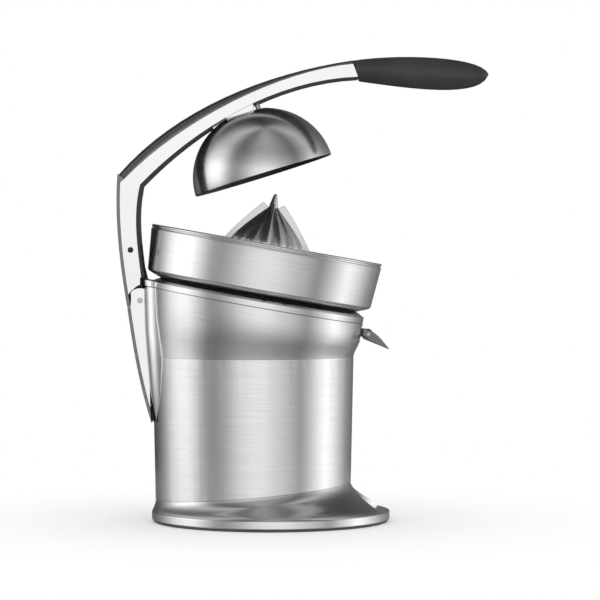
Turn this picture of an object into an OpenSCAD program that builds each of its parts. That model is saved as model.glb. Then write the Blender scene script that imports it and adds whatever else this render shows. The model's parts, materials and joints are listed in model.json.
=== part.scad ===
// Lever citrus press with a motor driven cone: lengths in millimetres, +X to the spout, +Z up.
// The origin is the centre of the round foot, on the surface that the press stands on.

/* [Base] */
// How far the round base stands out past the column's foot
base_step = 20.5; // [16:0.5:28]
// Height of the base's upright rim band above the feet
rim_h = 8.8; // [7:0.2:11]
// Radius of the round bay for the glass
bay_r = 62; // [56:0.5:66]
// Distance from the base's edge out to the bay's centre
bay_reach = 31.1; // [28:0.1:36]
// Thickness of the rubber foot ring
foot_h = 1.8; // [1.2:0.1:4]

/* [Column] */
// How far the column stands behind the base's centre
column_setback = 16.8; // [10:0.2:18]
// How far the column's upper crease lies inside the collar's radius
crease_inset = 7.1; // [4:0.1:10]
// How much the column's radius tapers from the crease to the base
column_taper = 3.1; // [1:0.1:6]
// How far the crease, where the head starts to flare, lies below the bowl's bottom plane
crease_drop = 63.6; // [60:0.4:74]
// Thickness of the sheet steel of column and head
sheet_t = 1.6; // [1:0.1:2.2]

/* [Head] */
// Forward lean of the head, the bowl and the cone, in degrees
lean = 10; // [9:0.5:11]
// Where the leaning axis crosses the bowl's bottom plane, behind the base's centre
machine_setback = 11; // [9:0.2:13]
// Height of that point
machine_z = 220; // [216:0.5:224]
// Radius of the collar ring under the bowl
collar_r = 102.6; // [101:0.2:104]
// How far the bowl's rim stands out past the collar
rim_step = 8.4; // [6.5:0.1:11]
// How far the bowl's bottom edge stands out past the collar
bowl_step = 4.8; // [3:0.1:5.4]
// Height of the bowl's wall along the leaning axis
bowl_h = 43.4; // [40:0.2:48]

/* [Cone and dome] */
// Height of the cone's tip above the bowl's bottom plane
cone_tip_u = 91.3; // [89:0.1:91.5]
// Radius over the four fins in the bowl's rim plane
fin_r = 41; // [38:0.5:44]
// Outer radius of the pressing dome at its rim
dome_r = 67.4; // [65:0.2:70]
// Height of the pressing dome
dome_h = 61.4; // [60.8:0.1:63]
// Radius of the flat crown on top of the dome
crown_r = 19; // [16:0.5:22]
// Backward tilt of the raised dome, in degrees
dome_tilt = 17.3; // [17:0.1:17.5]

/* [Arm] */
// Width of the arm's leg and of the hinge bracket
leg_w = 46; // [42:0.5:50]
// Width of the arm where the grip starts
beam_w = 34; // [30:0.5:38]
// Thickness of the brushed strip on the leg's back
strip_t = 3.1; // [2.4:0.1:3.6]
// Thickness of the dark lining on the arm's inner side
lining_t = 2.6; // [2.2:0.1:3.2]
// Width of the rubber grip
grip_w = 38; // [34:0.5:42]
// Radius of the pins of the arm's links
pin_r = 2.6; // [2.2:0.1:3]

/* [Drive] */
// Teeth of the cone's gear and of the large idler gear
large_teeth = 42; // [38:1:44]
// Teeth of the small idler gear and of the motor's pinion
small_teeth = 12; // [11:1:13]
// Tooth module of the second stage
output_module = 1.5; // [1.4:0.05:1.55]
// Tooth module of the first stage
motor_module = 1.25; // [1.2:0.05:1.3]
// Radius of the cone's spindle
spindle_r = 5; // [4.5:0.1:5.4]
// Radius of the motor's case
motor_r = 31; // [28:0.5:32]
// Length of the motor's case
motor_h = 68; // [60:1:80]

/* [Hidden] */

$fn = 96;
// Overrun of every cut past the face that it opens
cut = 1;
// Clearance between pieces that are fitted face to face round a shaft or in a bore
fit_gap = 0.04;
// Clearance between separate pieces that do not touch
free_gap = 0.4;
// Visible joint between neighbouring covers
seam = 0.5;

// Radii of the body from the bowl down to the base
bowl_rim_r = collar_r + rim_step;
bowl_foot_r = collar_r + bowl_step;
column_r = collar_r - crease_inset;
column_foot_r = column_r - column_taper;
base_r = column_foot_r + base_step;
bay_x = base_r + bay_reach;
crease_z = machine_z - crease_drop;

// Colours
steel = [0.74, 0.75, 0.76];
polished = [0.88, 0.89, 0.9];
dark = [0.16, 0.16, 0.17];
rubber = [0.2, 0.2, 0.21];
brass = [0.78, 0.62, 0.3];
moulding = [0.85, 0.86, 0.86];

// Places along the leaning axis are called u and are measured from the bowl's bottom plane.
module on_machine() { translate([-machine_setback, 0, machine_z]) rotate([0, lean, 0]) children(); }

// Point in the XZ plane for a radius r and a height u on the leaning axis
function machine_point(r, u) = [
    -machine_setback + r * cos(lean) + u * sin(lean),
    machine_z - r * sin(lean) + u * cos(lean)];

// Solid of an XZ outline, centred on the symmetry plane
module slab(points, width) {
    translate([0, width / 2, 0]) rotate([90, 0, 0]) linear_extrude(width) polygon(points);
}

// Cylinder along Y, centred on the symmetry plane
module cross_rod(at, r, width) {
    translate([at[0], 0, at[1]]) rotate([90, 0, 0]) cylinder(r = r, h = width, center = true);
}

function polar(angle, length) = [length * cos(angle), length * sin(angle)];

// Point at a share t of a cubic curve from a to d, given by the direction and length of its two handles
function on_bow(a, from_angle, from_len, d, to_angle, to_len, t) = let (
    s = 1 - t,
    b = a + polar(from_angle, from_len),
    c = d - polar(to_angle, to_len)) s * s * s * a + 3 * s * s * t * b + 3 * s * t * t * c + t * t * t * d;

function bow(a, from_angle, from_len, d, to_angle, to_len, steps = curve_steps) = [for (i = [0:steps])
    on_bow(a, from_angle, from_len, d, to_angle, to_len, i / steps)];

function arc(at, r, from, to, steps = curve_steps) = [for (i = [0:steps])
    at + polar(from + (to - from) * i / steps, r)];

function rest(points) = [for (i = [1:len(points) - 1]) points[i]];

function flip(points) = [for (i = [len(points) - 1:-1:0]) points[i]];

// Direction of a curve at its point i
function heading(points, i) = let (
    a = points[max(i - 1, 0)],
    b = points[min(i + 1, len(points) - 1)]) (b - a) / norm(b - a);

// Curve moved to its left by a distance
function moved(points, distance) = [for (i = [0:len(points) - 1]) let (h = heading(points, i))
    points[i] + distance * [-h[1], h[0]]];

function mix(a, b, share) = a + (b - a) * share;

curve_steps = 16;

// Places are measured from where the leaning axis crosses the bowl's bottom plane, or as far from it as the
// collar's front or the rear of the bowl's rim
function from_machine(place) = place + [-machine_setback, machine_z];

function from_front(place) = from_machine(place) + [collar_r, 0];

function from_rim(place) = from_machine(place) - [bowl_rim_r, 0];

// Closed skin over rings of points; closed rings of rings make a tube, otherwise both ends are capped
module skin(rings, tube = false) {
    count = len(rings[0]);
    last = len(rings) - (tube ? 1 : 2);
    points = [for (ring = rings) each ring];
    sides = [for (k = [0:last], i = [0:count - 1]) let (
        a = k * count,
        b = ((k + 1) % len(rings)) * count,
        j = (i + 1) % count) each [[a + i, b + i, b + j], [a + i, b + j, a + j]]];
    top = (len(rings) - 1) * count;
    caps = tube ? [] : [for (i = [1:count - 2]) each [[0, i, i + 1], [top, top + i + 1, top + i]]];
    polyhedron(points, concat(sides, caps));
}

// Base: foot, skirt and cover
base_z = foot_h;
rim_top_z = base_z + rim_h;
shoulder_h = 6.4;
shoulder_inset = 2.6;
seam_front_z = 37.3;
seam_rear_z = 21.1;
seam_tilt = atan((seam_front_z - seam_rear_z) / (2 * column_foot_r));
seam_z = (seam_front_z + seam_rear_z) / 2;
skirt_edge = 0.8;
rim_round = 2.6;
rim_round_share = 0.3;
hollow_ledge = 14.4;
base_hollow_r = column_foot_r - hollow_ledge;
cover_edge = 0.9;
cover_t = 2.4;
cover_recess = 1.2;
cover_pocket_h = cover_recess + cover_t + free_gap / 2;
bay_sink = 1;
bay_floor_z = rim_top_z - bay_sink;
foot_w = 12;
foot_edge = 2;
cover_r = base_r - foot_edge - foot_w - cover_edge;
vent_count = 9;
vent_w = 3;
vent_len = 40;
vent_pitch = 8;
cover_screw_count = 4;
cover_screw_inset = 6;
cover_screw_r = 1.8;
cover_screw_head_r = 3.4;
cover_screw_head_h = 1.6;
cover_screw_len = 9;

// Cord gland in the skirt's far rear
gland_angle = 140;
gland_rise = 8.2;
gland_z = base_z + gland_rise;
gland_r = 4.2;
gland_bore_r = 2.9;
gland_flange_r = 5.4;
gland_flange_t = 2;
gland_depth = 24.9;
gland_from_r = base_r - gland_depth;

// Rings that the head is lofted through: share of its height and share of its flare
head_rise_shares = [0, 0.12, 0.3, 0.55, 0.8, 1];
head_flare_shares = [0, 0.13, 0.46, 0.86, 0.97, 1];
seam_u = -15.4;
collar_top_u = -9.6;
collar_inner_u = -6;
collar_w = 8.2;
collar_inner_r = collar_r - collar_w;
head_sides = 90;

// Bowl
bowl_t = 1.4;
bowl_underside_u = -5.4;
bowl_floor_t = 2;
rim_roll_r = 1.3;
tower_r = 14.5;
tower_u = 7;
seal_seat_r = 9;
drain_r = 7;
drain_inset = 34.6;
drain_x = collar_r - drain_inset;
drain_wall = 1.6;
drain_u = -15;

// Deck that closes the head under the bowl
deck_t = 3.6;
deck_top_u = bowl_underside_u - free_gap;
deck_boss_r = 13;
deck_boss_h = 8;
bush_r = 8.5;
bush_flange_r = 10.5;
bush_flange_t = 1.4;

// Filter basket
basket_gap = 0.3;
basket_u = tower_u + basket_gap;
basket_t = 1.2;
basket_inset = 14.4;
basket_rim_r = collar_inner_r - basket_inset;
basket_flare = 6;
basket_foot_r = basket_rim_r - basket_flare;
basket_rim_u = 31;
basket_slots = 36;
slot_from_r = 50;
slot_edge = 4;
slot_to_r = basket_foot_r - slot_edge;
slot_w = 1.8;

// Cone
cone_foot_u = 10.5;
cone_foot_r = 45;
cone_body_r = 35.5;
cone_apex_u = 78;
cone_t = 2.6;
finger_r = 4.4;
finger_tip_r = 1.9;
shoulder_u = 82;
shoulder_r = 10;
fin_count = 4;
fin_t = 3.4;
ribs_between = 3;
rib_t = 2;
rib_step = 2.6;
hub_r = 9;
drive_flat = 1;
spindle_top_u = 36;

// Gear train on the leaning axis
upper_plate_u = -34;
plate_t = 3;
stage_two_u = -48;
gear_t = 8;
stage_one_u = -58;
pinion_t = 6;
plate_drop = 5;
lower_plate_u = stage_one_u - plate_drop;
idler_at = [0, output_module * (large_teeth + small_teeth) / 2];
motor_angle = -20;
motor_at = idler_at + polar(motor_angle, motor_module * (large_teeth + small_teeth) / 2);
plate_at = [8, 18];
plate_r = 64;
post_ring_r = 58;
post_r = 3.2;
post_angles = [60, 180, 300];
plate_bore_gap = 2;
idler_pin_r = 3;
idler_hub_r = 7;
motor_shaft_r = 2.5;
motor_bush_r = 6;
motor_bush_t = 6;
motor_wall = 1.5;
motor_end_t = 3;
stator_t = 8;
rotor_gap = 0.8;
switch_size = [20, 10, 14];
switch_at = [-52, -34];

// Spine behind the column: rear face and width of its rings from the bottom up
spine_places = [[11.4, -128], [9.4, -112], [7.3, -96], [4.6, -63.6], [2.6, -39], [-0.2, 20]];
spine_width_shares = [1.348, 1.609, 1.783, 1.957, 1.848, 1.565];
spine_sink = 24.3;
spine_sides = 28;
spine_power = 3.4;
channel_gap = 1.2;
channel_foot_place = [9.4, -124];
channel_foot = from_rim(channel_foot_place);
channel_head_place = [6.2, 6];
channel_head = from_rim(channel_head_place);
link_slot_w = 30;
link_slot_drop = 68;
link_slot_depth = 24;

// Pivots of the arm's linkage
rocker_place = [-0.8, -10.6];
rocker_pivot = from_rim(rocker_place);
swing_place = [-9.8, 37];
swing_pivot = from_rim(swing_place);
control_foot_place = [17, -54];
control_foot = from_rim(control_foot_place);
control_head_place = [-4, 29];
control_head = from_rim(control_head_place);
knuckle_r = 11.5;
tail_r = 12.3;
rocker_boss_r = 8;
swing_boss_r = 4.8;
rocker_half = 4.2;
control_half = 4;
link_w = 10;
link_y = 6.2;
ear_t = 3;
control_boss_r = 5.2;
open_bore_gap = 0.6;
lane_w = 24.4;
control_pin_r = 2.2;
control_pin_seat = 4;
control_pin_wall = 2;
lining_end_t = 1.4;
tail_relief = [3.5, 3];
tail_spine_rise = 21.6;
pin_stand = 0.4;
bracket_screw_places = [[4, -90], [4, -74]];
bracket_screw_len = 12;
bracket_screw_r = 2;

// Curves of the arm in the symmetry plane, from tail to grip
bracket_tip_place = [9.8, -125.9];
tail_tip_place = [-12.9, -17.3];
tail_tip = from_rim(tail_tip_place);
kink_outer_place = [-22, 108.6];
kink_outer = from_rim(kink_outer_place);
kink_inner_place = [-14.5, 104.8];
kink_inner = from_rim(kink_inner_place);
elbow_place = [-0.65, 98.5];
elbow = from_rim(elbow_place);
lip_foot_place = [0.4, 10];
lip_foot = from_rim(lip_foot_place);
beam_end_place = [88.2, 216.4];
beam_end = from_machine(beam_end_place);
cover_end_place = [89, 212.4];
lip_end_place = [93.5, 200.2];
grip_heel_place = [94.6, 196.7];
grip_heel = from_machine(grip_heel_place);
rear_handle = 37;
leg_handle = 41;
beam_handle = 83;
cover_handles = [75, 70];
lip_handle = 30;
lip_handles = [75, 78];
rear_line = bow(from_rim(bracket_tip_place), 108, rear_handle, tail_tip, 98, rear_handle);
leg_line = bow(tail_tip, 100, leg_handle, kink_outer, 85.5, leg_handle);
beam_line = bow(kink_outer, 49, beam_handle, beam_end, 8.5, beam_handle);
cover_line = bow(kink_inner, 46, cover_handles[0], from_machine(cover_end_place), 5, cover_handles[1]);
lip_line = concat(
    bow(lip_foot, 97, lip_handle, elbow, 76, lip_handle),
    rest(bow(elbow, 46, lip_handles[0], from_machine(lip_end_place), 2, lip_handles[1])));
under_line = [for (i = [0:len(lip_line) - 1])
    moved(lip_line, -mix(lining_t, lining_end_t, i / (len(lip_line) - 1)))[i]];
leg_cover_line = moved(leg_line, -strip_t);
rear_cover_line = moved(rear_line, -strip_t);
cover_skin = 3;
back_skin = 1.8;
lining_rise = 42;

// Dome and what carries it
bracket_last = 25;
crown_hang = [4.711, -2.439];
crown_at = lip_line[bracket_last - 1] + crown_hang;
dome_at = crown_at + dome_h * [sin(dome_tilt), -cos(dome_tilt)];
dome_t = 1.6;
liner_t = 2;
liner_gap = 0.1;
bracket_w = 24;
post_rod_r = 2.4;
post_offset = 14.2;
dome_screw_r = 2;
dome_screw_head_r = 4;
dome_screw_head_h = 1.5;

// Grip and the bar inside it
grip_tip_place = [216.9, 203.2];
grip_tip = from_machine(grip_tip_place);
grip_handle = 45;
grip_high_handle = 18;
grip_low_handle = 24.75;
grip_swell_share = 0.5;
grip_end_share = 0.985;
grip_blunt_share = 0.02;
grip_close_power = 2.4;
grip_sides = 28;
grip_rings = 14;
grip_power = 0.8;
tang_place = [77, 204.6];
tang_len = 74;
tang_h = 8.4;
tang_w = 16;

// Spout and its duct
spout_w = 32;
spout_t = 1.2;
spout_root_place = [-3.7, -37.9];
spout_root = from_front(spout_root_place);
spout_heel_place = [-4.2, -47.1];
spout_heel = from_front(spout_heel_place);
spout_tip_place = [20.2, -57.1];
spout_tip = from_front(spout_tip_place);
spout_axis_place = [1, -42.6];
spout_axis = from_front(spout_axis_place);
spout_handles = [9, 11];
spout_pin_r = 1.5;
spout_slot_rim = 2;
duct_t = 1.8;
duct_w = 27;
duct_rear_inset = 50.6;
duct_rear_r = collar_r - duct_rear_inset;
duct_front_inset = 22.6;
duct_front_r = collar_r - duct_front_inset;
duct_nose_r = 4.4;
duct_heel_place = [-49.6, -31.4];
duct_heel = from_front(duct_heel_place);

// Places along the arm's curves, counted in their steps, and what is set by them
crown_inset = 0.4;
crown_edge_share = 0.12;
crown_steps = 12;
crown_power = 0.7;
channel_rear_last = 5;
channel_front_first = 9;
channel_front_last = 14;
lining_inset = 1;
lining_rear_last = 22;
lining_front_first = 25;
bracket_edge = 2;
dome_steps = 22;
dome_screw_grip = 2.5;
cone_handle = 14;
spout_fall = (spout_heel[1] - spout_tip[1]) / (spout_tip[0] - spout_heel[0]);

// Gear teeth
addendum_share = 0.88;
dedendum_share = 1.15;
tooth_share = 0.8;
pressure_angle = 20;

// Flat ring that the press stands on
module foot_ring() {
    color(rubber) rotate_extrude() translate([base_r - foot_edge - foot_w, 0]) square([foot_w, foot_h]);
}

// Tilted plane in which the skirt meets the column
module on_seam() { translate([-column_setback, 0, seam_z]) rotate([0, -seam_tilt, 0]) children(); }

module base_skirt() {
    color(steel) difference() {
        union() {
            rotate_extrude() polygon([
                [0, base_z],
                [base_r - rim_round, base_z],
                [base_r - rim_round_share * rim_round, base_z + rim_round_share * rim_round],
                [base_r, base_z + rim_round],
                [base_r, rim_top_z],
                [0, rim_top_z]]);
            hull() {
                translate([0, 0, rim_top_z]) cylinder(r = base_r, h = skirt_edge);
                translate([0, 0, rim_top_z + shoulder_h - skirt_edge])
                    cylinder(r = base_r - shoulder_inset, h = skirt_edge);
                on_seam()
                    translate([0, 0, -skirt_edge]) cylinder(r = column_foot_r + skirt_edge, h = skirt_edge);
            }
        }
        translate([bay_x, 0, bay_floor_z]) cylinder(r = bay_r, h = seam_front_z);
        translate([-column_setback, 0, 0]) cylinder(r = base_hollow_r, h = 2 * seam_front_z);
        translate([0, 0, base_z - cut]) cylinder(r = cover_r + free_gap, h = cover_pocket_h + cut);
        cover_screw_places() cylinder(r = cover_screw_r + fit_gap, h = cover_screw_len);
        on_gland() translate([0, 0, -cut])
            cylinder(r = gland_r + fit_gap, h = gland_depth + 2 * cut);
    }
}

module on_gland() {
    rotate([0, 0, gland_angle]) translate([gland_from_r, 0, gland_z]) rotate([0, 90, 0]) children();
}

module cord_gland() {
    gland_len = gland_depth + free_gap;
    color(dark) on_gland() difference() {
        union() {
            cylinder(r = gland_r, h = gland_len + gland_flange_t);
            translate([0, 0, gland_len]) cylinder(r = gland_flange_r, h = gland_flange_t);
        }
        translate([0, 0, -cut]) cylinder(r = gland_bore_r, h = gland_len + gland_flange_t + 2 * cut);
    }
}

module cover_screw_places() {
    for (i = [0:cover_screw_count - 1])
        rotate([0, 0, (i + 0.5) * 360 / cover_screw_count])
            translate([cover_r - cover_screw_inset, 0, base_z + cover_recess]) children();
}

// Cover under the base, with a row of vent slots below the column
module base_cover() {
    mid_z = base_z + cover_recess + cover_t / 2;
    color(dark) difference() {
        translate([0, 0, base_z + cover_recess]) cylinder(r = cover_r, h = cover_t);
        for (i = [0:vent_count - 1])
            translate([(i - (vent_count - 1) / 2) * vent_pitch - column_setback, 0, mid_z])
                cube([vent_w, vent_len, cover_t + 2 * cut], center = true);
        cover_screw_places()
            translate([0, 0, -cut]) cylinder(r = cover_screw_r + fit_gap, h = cover_t + 2 * cut);
    }
}

module cover_screws() {
    head_h = cover_screw_head_h - free_gap;
    color(dark) cover_screw_places() {
        cylinder(r = cover_screw_r, h = cover_t + cover_screw_len / 2);
        translate([0, 0, -head_h]) cylinder(r = cover_screw_head_r, h = head_h);
    }
}

// Sheet steel column, open to the hinge behind it
module column_shell() {
    color(steel) difference() {
        translate([-column_setback, 0, 0]) rotate_extrude() polygon([
            [column_foot_r - sheet_t, seam_rear_z / 2],
            [column_foot_r, seam_rear_z / 2],
            [column_r, crease_z],
            [column_r - sheet_t, crease_z]]);
        on_seam() translate([-2 * base_r, -2 * base_r, -4 * base_r]) cube(4 * base_r);
        link_slot();
        bracket_screw_rods(bracket_screw_r + fit_gap);
    }
}

// Opening in shell, spine and collar through which the links reach their lower pins
module link_slot() {
    translate([channel_head[0] - base_r / 2, -link_slot_w / 2, machine_z - link_slot_drop])
        cube([base_r / 2 + link_slot_depth, link_slot_w, machine_z]);
}

// Circle round the head at one ring of its loft
function head_ring(i, inset) = let (
    rise = head_rise_shares[i],
    flare = head_flare_shares[i],
    low_r = column_r - inset,
    high_r = collar_r - inset) [for (k = [0:head_sides - 1]) let (
        a = 360 * k / head_sides,
        low = [-column_setback + low_r * cos(a), low_r * sin(a), crease_z],
        high_at = machine_point(high_r * cos(a), seam_u),
        high = [high_at[0], high_r * sin(a), high_at[1]])
        [mix(low[0], high[0], flare), mix(low[1], high[1], flare), mix(low[2], high[2], rise)]];

module head_form(inset) {
    skin([for (i = [0:len(head_rise_shares) - 1]) head_ring(i, inset)]);
}

module head_shell() {
    last = len(head_rise_shares) - 1;
    outer = [for (i = [0:last]) head_ring(i, 0)];
    inner = [for (i = [last:-1:0]) head_ring(i, sheet_t)];
    color(steel) difference() {
        skin(concat(outer, inner), tube = true);
        link_slot();
        translate([spout_heel[0] - 4 * sheet_t, -(spout_w / 2 + seam), spout_heel[1] - spout_slot_rim])
            cube([8 * sheet_t, spout_w + 2 * seam, spout_root[1] - spout_heel[1] + 2 * spout_slot_rim]);
    }
}

// Outline of the collar ring: it stands on the head shell and its chamfer carries the bowl
module collar_form() {
    rotate_extrude() polygon([
        [collar_inner_r, seam_u + seam / 2],
        [collar_r, seam_u + seam / 2],
        [collar_r, collar_top_u],
        [collar_inner_r + sheet_t, collar_inner_u],
        [collar_inner_r, collar_inner_u]]);
}

// Half space above a height on the leaning axis
module above_u(u) {
    on_machine() translate([-2 * base_r, -2 * base_r, u]) cube(4 * base_r);
}

module collar_ring() {
    color(steel) union() {
        difference() {
            on_machine() collar_form();
            link_slot();
            spine_channel();
        }
        difference() {
            spine_form();
            on_machine() translate([0, 0, -2 * base_r]) cylinder(r = collar_r, h = 4 * base_r);
            below_u(seam_u + seam / 2);
            above_u(collar_top_u);
            spine_channel();
            link_slot();
        }
    }
}

module below_u(u) {
    on_machine() translate([-2 * base_r, -2 * base_r, u - 4 * base_r]) cube(4 * base_r);
}

// One ring of the spine: a rounded box that reaches from inside the column to its rear face
function spine_ring(i) = [for (k = [0:spine_sides - 1]) let (
    a = 180 * k / (spine_sides - 1) - 90,
    rear = from_rim(spine_places[i]),
    front_x = spine_sink - column_setback - column_r,
    half = spine_width_shares[i] * leg_w / 2,
    x = mix(front_x, rear[0], pow(max(cos(a), 0), 2 / spine_power)),
    y = -half * sign(sin(a)) * pow(abs(sin(a)), 2 / spine_power)) [x, y, rear[1]]];

module spine_form() {
    skin([for (i = [0:len(spine_places) - 1]) spine_ring(i)]);
}

// Channel in the spine's back in which the hinge bracket lies
module spine_channel() {
    half = leg_w / 2 + channel_gap;
    slab([channel_foot, channel_foot - [base_r / 2, base_r / 8], channel_head - [base_r / 2, -base_r / 8],
        channel_head + [0, base_r / 8]], 2 * half);
    cross_rod(rocker_pivot, knuckle_r + free_gap, 2 * half);
}

// Space that the column takes, with a little more round it and above it
module column_form() {
    translate([-column_setback, 0, 0]) rotate_extrude() polygon([
        [0, seam_rear_z / 2],
        [column_foot_r + fit_gap, seam_rear_z / 2],
        [column_r + fit_gap, crease_z],
        [column_r + fit_gap, crease_z + seam],
        [0, crease_z + seam]]);
}

module rear_spine() {
    color(steel) difference() {
        spine_form();
        column_form();
        head_form(0);
        spine_channel();
        above_u(seam_u - seam / 2);
        link_slot();
        bracket_screw_rods(bracket_screw_r + fit_gap);
    }
}

// Back of the channel at a height
function channel_x(z) = mix(channel_foot[0], channel_head[0],
    (z - channel_foot[1]) / (channel_head[1] - channel_foot[1]));

// Side outline of the hinge bracket without its cover
function bracket_outline() = let (
    low_z = rear_cover_line[2][1],
    high_z = rocker_pivot[1]) concat(
    [for (i = [2:curve_steps]) rear_cover_line[i]],
    [[tail_tip[0] + strip_t + seam, high_z], [channel_x(high_z) - free_gap, high_z],
        [channel_x(low_z) - free_gap, low_z]]);

// Bracket that carries the links' lower pins; it lies in the spine's channel
module hinge_bracket() {
    rear_x = tail_tip[0] + strip_t + seam;
    color(polished) difference() {
        union() {
            slab(bracket_outline(), leg_w);
            intersection() {
                cross_rod(rocker_pivot, knuckle_r, leg_w);
                translate([rear_x, -leg_w, 0])
                    cube([channel_head[0] - free_gap - rear_x, 2 * leg_w, 2 * machine_z]);
            }
            control_ears();
        }
        near_lane() rocker_lane();
        far_lane() control_lane();
        near_lane() cross_rod(rocker_pivot, pin_r + fit_gap, leg_w);
        far_lane() cross_rod(control_foot, pin_r + fit_gap, leg_w);
        bracket_screw_rods(bracket_screw_r + fit_gap);
    }
}

// Two ears that reach through the shell and carry the control link's lower pin
module control_ears() {
    for (side = [-1, 1])
        far_lane() translate([0, side * (link_w / 2 + free_gap + ear_t / 2), 0])
            slab([
                control_foot + [control_boss_r, -control_boss_r],
                control_foot + [control_boss_r, control_boss_r],
                [channel_head[0] - 2 * free_gap, rocker_pivot[1] - knuckle_r],
                [channel_head[0] - 2 * free_gap, control_foot[1] - 2 * control_boss_r]], ear_t);
}

// The rocker swings in the near lane and the control link beside it in the far lane
module near_lane() { translate([0, -link_y, 0]) children(); }

module far_lane() { translate([0, link_y, 0]) children(); }

// Space of the rocker in the bracket, open to the front and the back
module rocker_lane() {
    foot_z = rocker_pivot[1] - rocker_boss_r - free_gap;
    slab([
        [rocker_pivot[0] - 2 * knuckle_r, foot_z],
        [rocker_pivot[0] + 2 * knuckle_r, foot_z],
        [rocker_pivot[0] + 2 * knuckle_r, machine_z + knuckle_r],
        [rocker_pivot[0] - 2 * knuckle_r, machine_z + knuckle_r]], link_w + 2 * free_gap);
}

// Space of the control link, which leans back when the arm comes down
module control_lane() {
    reach = control_boss_r + channel_gap;
    slab([
        control_foot - [reach, reach],
        control_foot + [reach, -reach],
        [channel_head[0] + channel_gap, channel_head[1]],
        [tail_tip[0], channel_head[1]],
        tail_tip + [0, seam]], link_w + 2 * free_gap);
}

module bracket_cover() {
    color(steel) slab(concat(
        [for (i = [0:len(rear_line) - 1]) rear_line[i] - [0, seam]],
        flip([for (i = [2:len(rear_cover_line) - 1]) rear_cover_line[i] - [0, seam]])), leg_w - 2 * seam);
}

// Two screws that hold the bracket to the column through the spine
module bracket_screw_rods(r) {
    for (place = bracket_screw_places) let (at = from_rim(place))
        translate([at[0], 0, at[1]]) rotate([0, 90, 0]) cylinder(r = r, h = bracket_screw_len);
}

module bracket_screws() {
    color(dark) bracket_screw_rods(bracket_screw_r);
}

module rocker_pin() {
    color(steel) translate([0, -(leg_w / 2 + pin_stand + link_y - link_w / 2) / 2, 0])
        cross_rod(rocker_pivot, pin_r, leg_w / 2 + pin_stand - link_y + link_w / 2);
}

module control_pin_lower() {
    color(steel) far_lane() cross_rod(control_foot, pin_r, link_w + 2 * ear_t + 2 * free_gap);
}

// Link with a boss and a bore at both ends
module link_bar(from, from_r, from_bore_r, to, to_r, to_bore_r, half) {
    side = half * polar(atan2(to[1] - from[1], to[0] - from[0]) + 90, 1);
    rotate([90, 0, 0]) linear_extrude(link_w, center = true) difference() {
        union() {
            translate(from) circle(r = from_r);
            translate(to) circle(r = to_r);
            polygon([from - side, to - side, to + side, from + side]);
        }
        translate(from) circle(r = from_bore_r);
        translate(to) circle(r = to_bore_r);
    }
}

module rocker_link() {
    bore_r = pin_r + fit_gap;
    color(dark) near_lane()
        link_bar(rocker_pivot, rocker_boss_r, bore_r, swing_pivot, swing_boss_r, bore_r, rocker_half);
}

module control_link() {
    boss_r = control_boss_r;
    head_bore_r = control_pin_r + open_bore_gap;
    color(dark) far_lane()
        link_bar(control_foot, boss_r, pin_r + fit_gap, control_head, boss_r, head_bore_r, control_half);
}

// Cylinder round the upper control pin, from inside the far lane into the arm's far cheek
module at_control_head(r, from_y, to_y) {
    translate([control_head[0], from_y, control_head[1]])
        rotate([-90, 0, 0]) cylinder(r = r, h = to_y - from_y);
}

// Side outline of the arm's casting: back of the leg, top of the beam, then back along its lip
function casting_outline() = concat(
    [for (i = [0:curve_steps - 1]) leg_cover_line[i]],
    cover_line,
    flip(lip_line),
    [[lip_foot[0], rocker_pivot[1]], [leg_cover_line[0][0], rocker_pivot[1]]]);

// Plan outline that narrows the arm from its leg to the grip
module plan_taper(inset) {
    leg_half = leg_w / 2 - inset;
    beam_half = beam_w / 2 - inset;
    translate([0, 0, tail_tip[1] - base_r]) linear_extrude(2 * machine_z) polygon([
        [kink_outer[0] - base_r, -leg_half],
        [elbow[0], -leg_half],
        [grip_heel[0], -beam_half],
        [grip_tip[0], -beam_half],
        [grip_tip[0], beam_half],
        [grip_heel[0], beam_half],
        [elbow[0], leg_half],
        [kink_outer[0] - base_r, leg_half]]);
}

// Clearance of the arm's tail over the knuckle and the spine
module tail_cut() {
    width = 2 * leg_w;
    cross_rod(rocker_pivot, tail_r, width);
    cross_rod(rocker_pivot + tail_relief, tail_r, width);
    translate([rocker_pivot[0], -leg_w, rocker_pivot[1] - base_r])
        cube([base_r, width, base_r + tail_spine_rise]);
    translate([tail_tip[0] + strip_t, -leg_w, tail_tip[1] - base_r])
        cube([base_r, width, base_r + rocker_pivot[1] - tail_tip[1]]);
}

// Casting of leg and beam in one piece, channelled from its inner side
module arm_casting() {
    boss_y = leg_w / 2 - lining_inset - control_pin_wall;
    color(polished) difference() {
        union() {
            intersection() {
                slab(casting_outline(), leg_w);
                plan_taper(0);
            }
            at_control_head(control_pin_r + control_pin_wall, lane_w / 2, boss_y);
        }
        tail_cut();
        arm_channel();
        cross_rod(swing_pivot, pin_r + fit_gap, 2 * leg_w);
        at_control_head(control_pin_r + fit_gap, 0, lane_w / 2 + control_pin_seat);
        tang_form(fit_gap);
    }
}

// Hollows of the arm between its cheeks, open to the lining: the leg's and the front of the beam's
module arm_channel() {
    roof = moved(cover_line, -cover_skin);
    back = moved(leg_cover_line, -back_skin);
    slab(concat(
        [for (i = [0:len(back) - 2]) back[i]],
        [for (i = [1:channel_rear_last]) roof[i]],
        flip([for (i = [0:lining_rear_last - 1]) under_line[i]]),
        [under_line[0] - [0, base_r / 4], back[0] - [0, base_r / 4]]), lane_w);
    slab(concat(
        [for (i = [channel_front_first:channel_front_last]) roof[i]],
        flip([for (i = [lining_front_first + 1:len(under_line) - 3]) under_line[i]])), lane_w);
}

// Crowned steel cover on top of the beam
module beam_cover() {
    color(steel) skin([for (i = [0:len(beam_line) - 1]) cover_ring(i)]);
}

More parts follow.
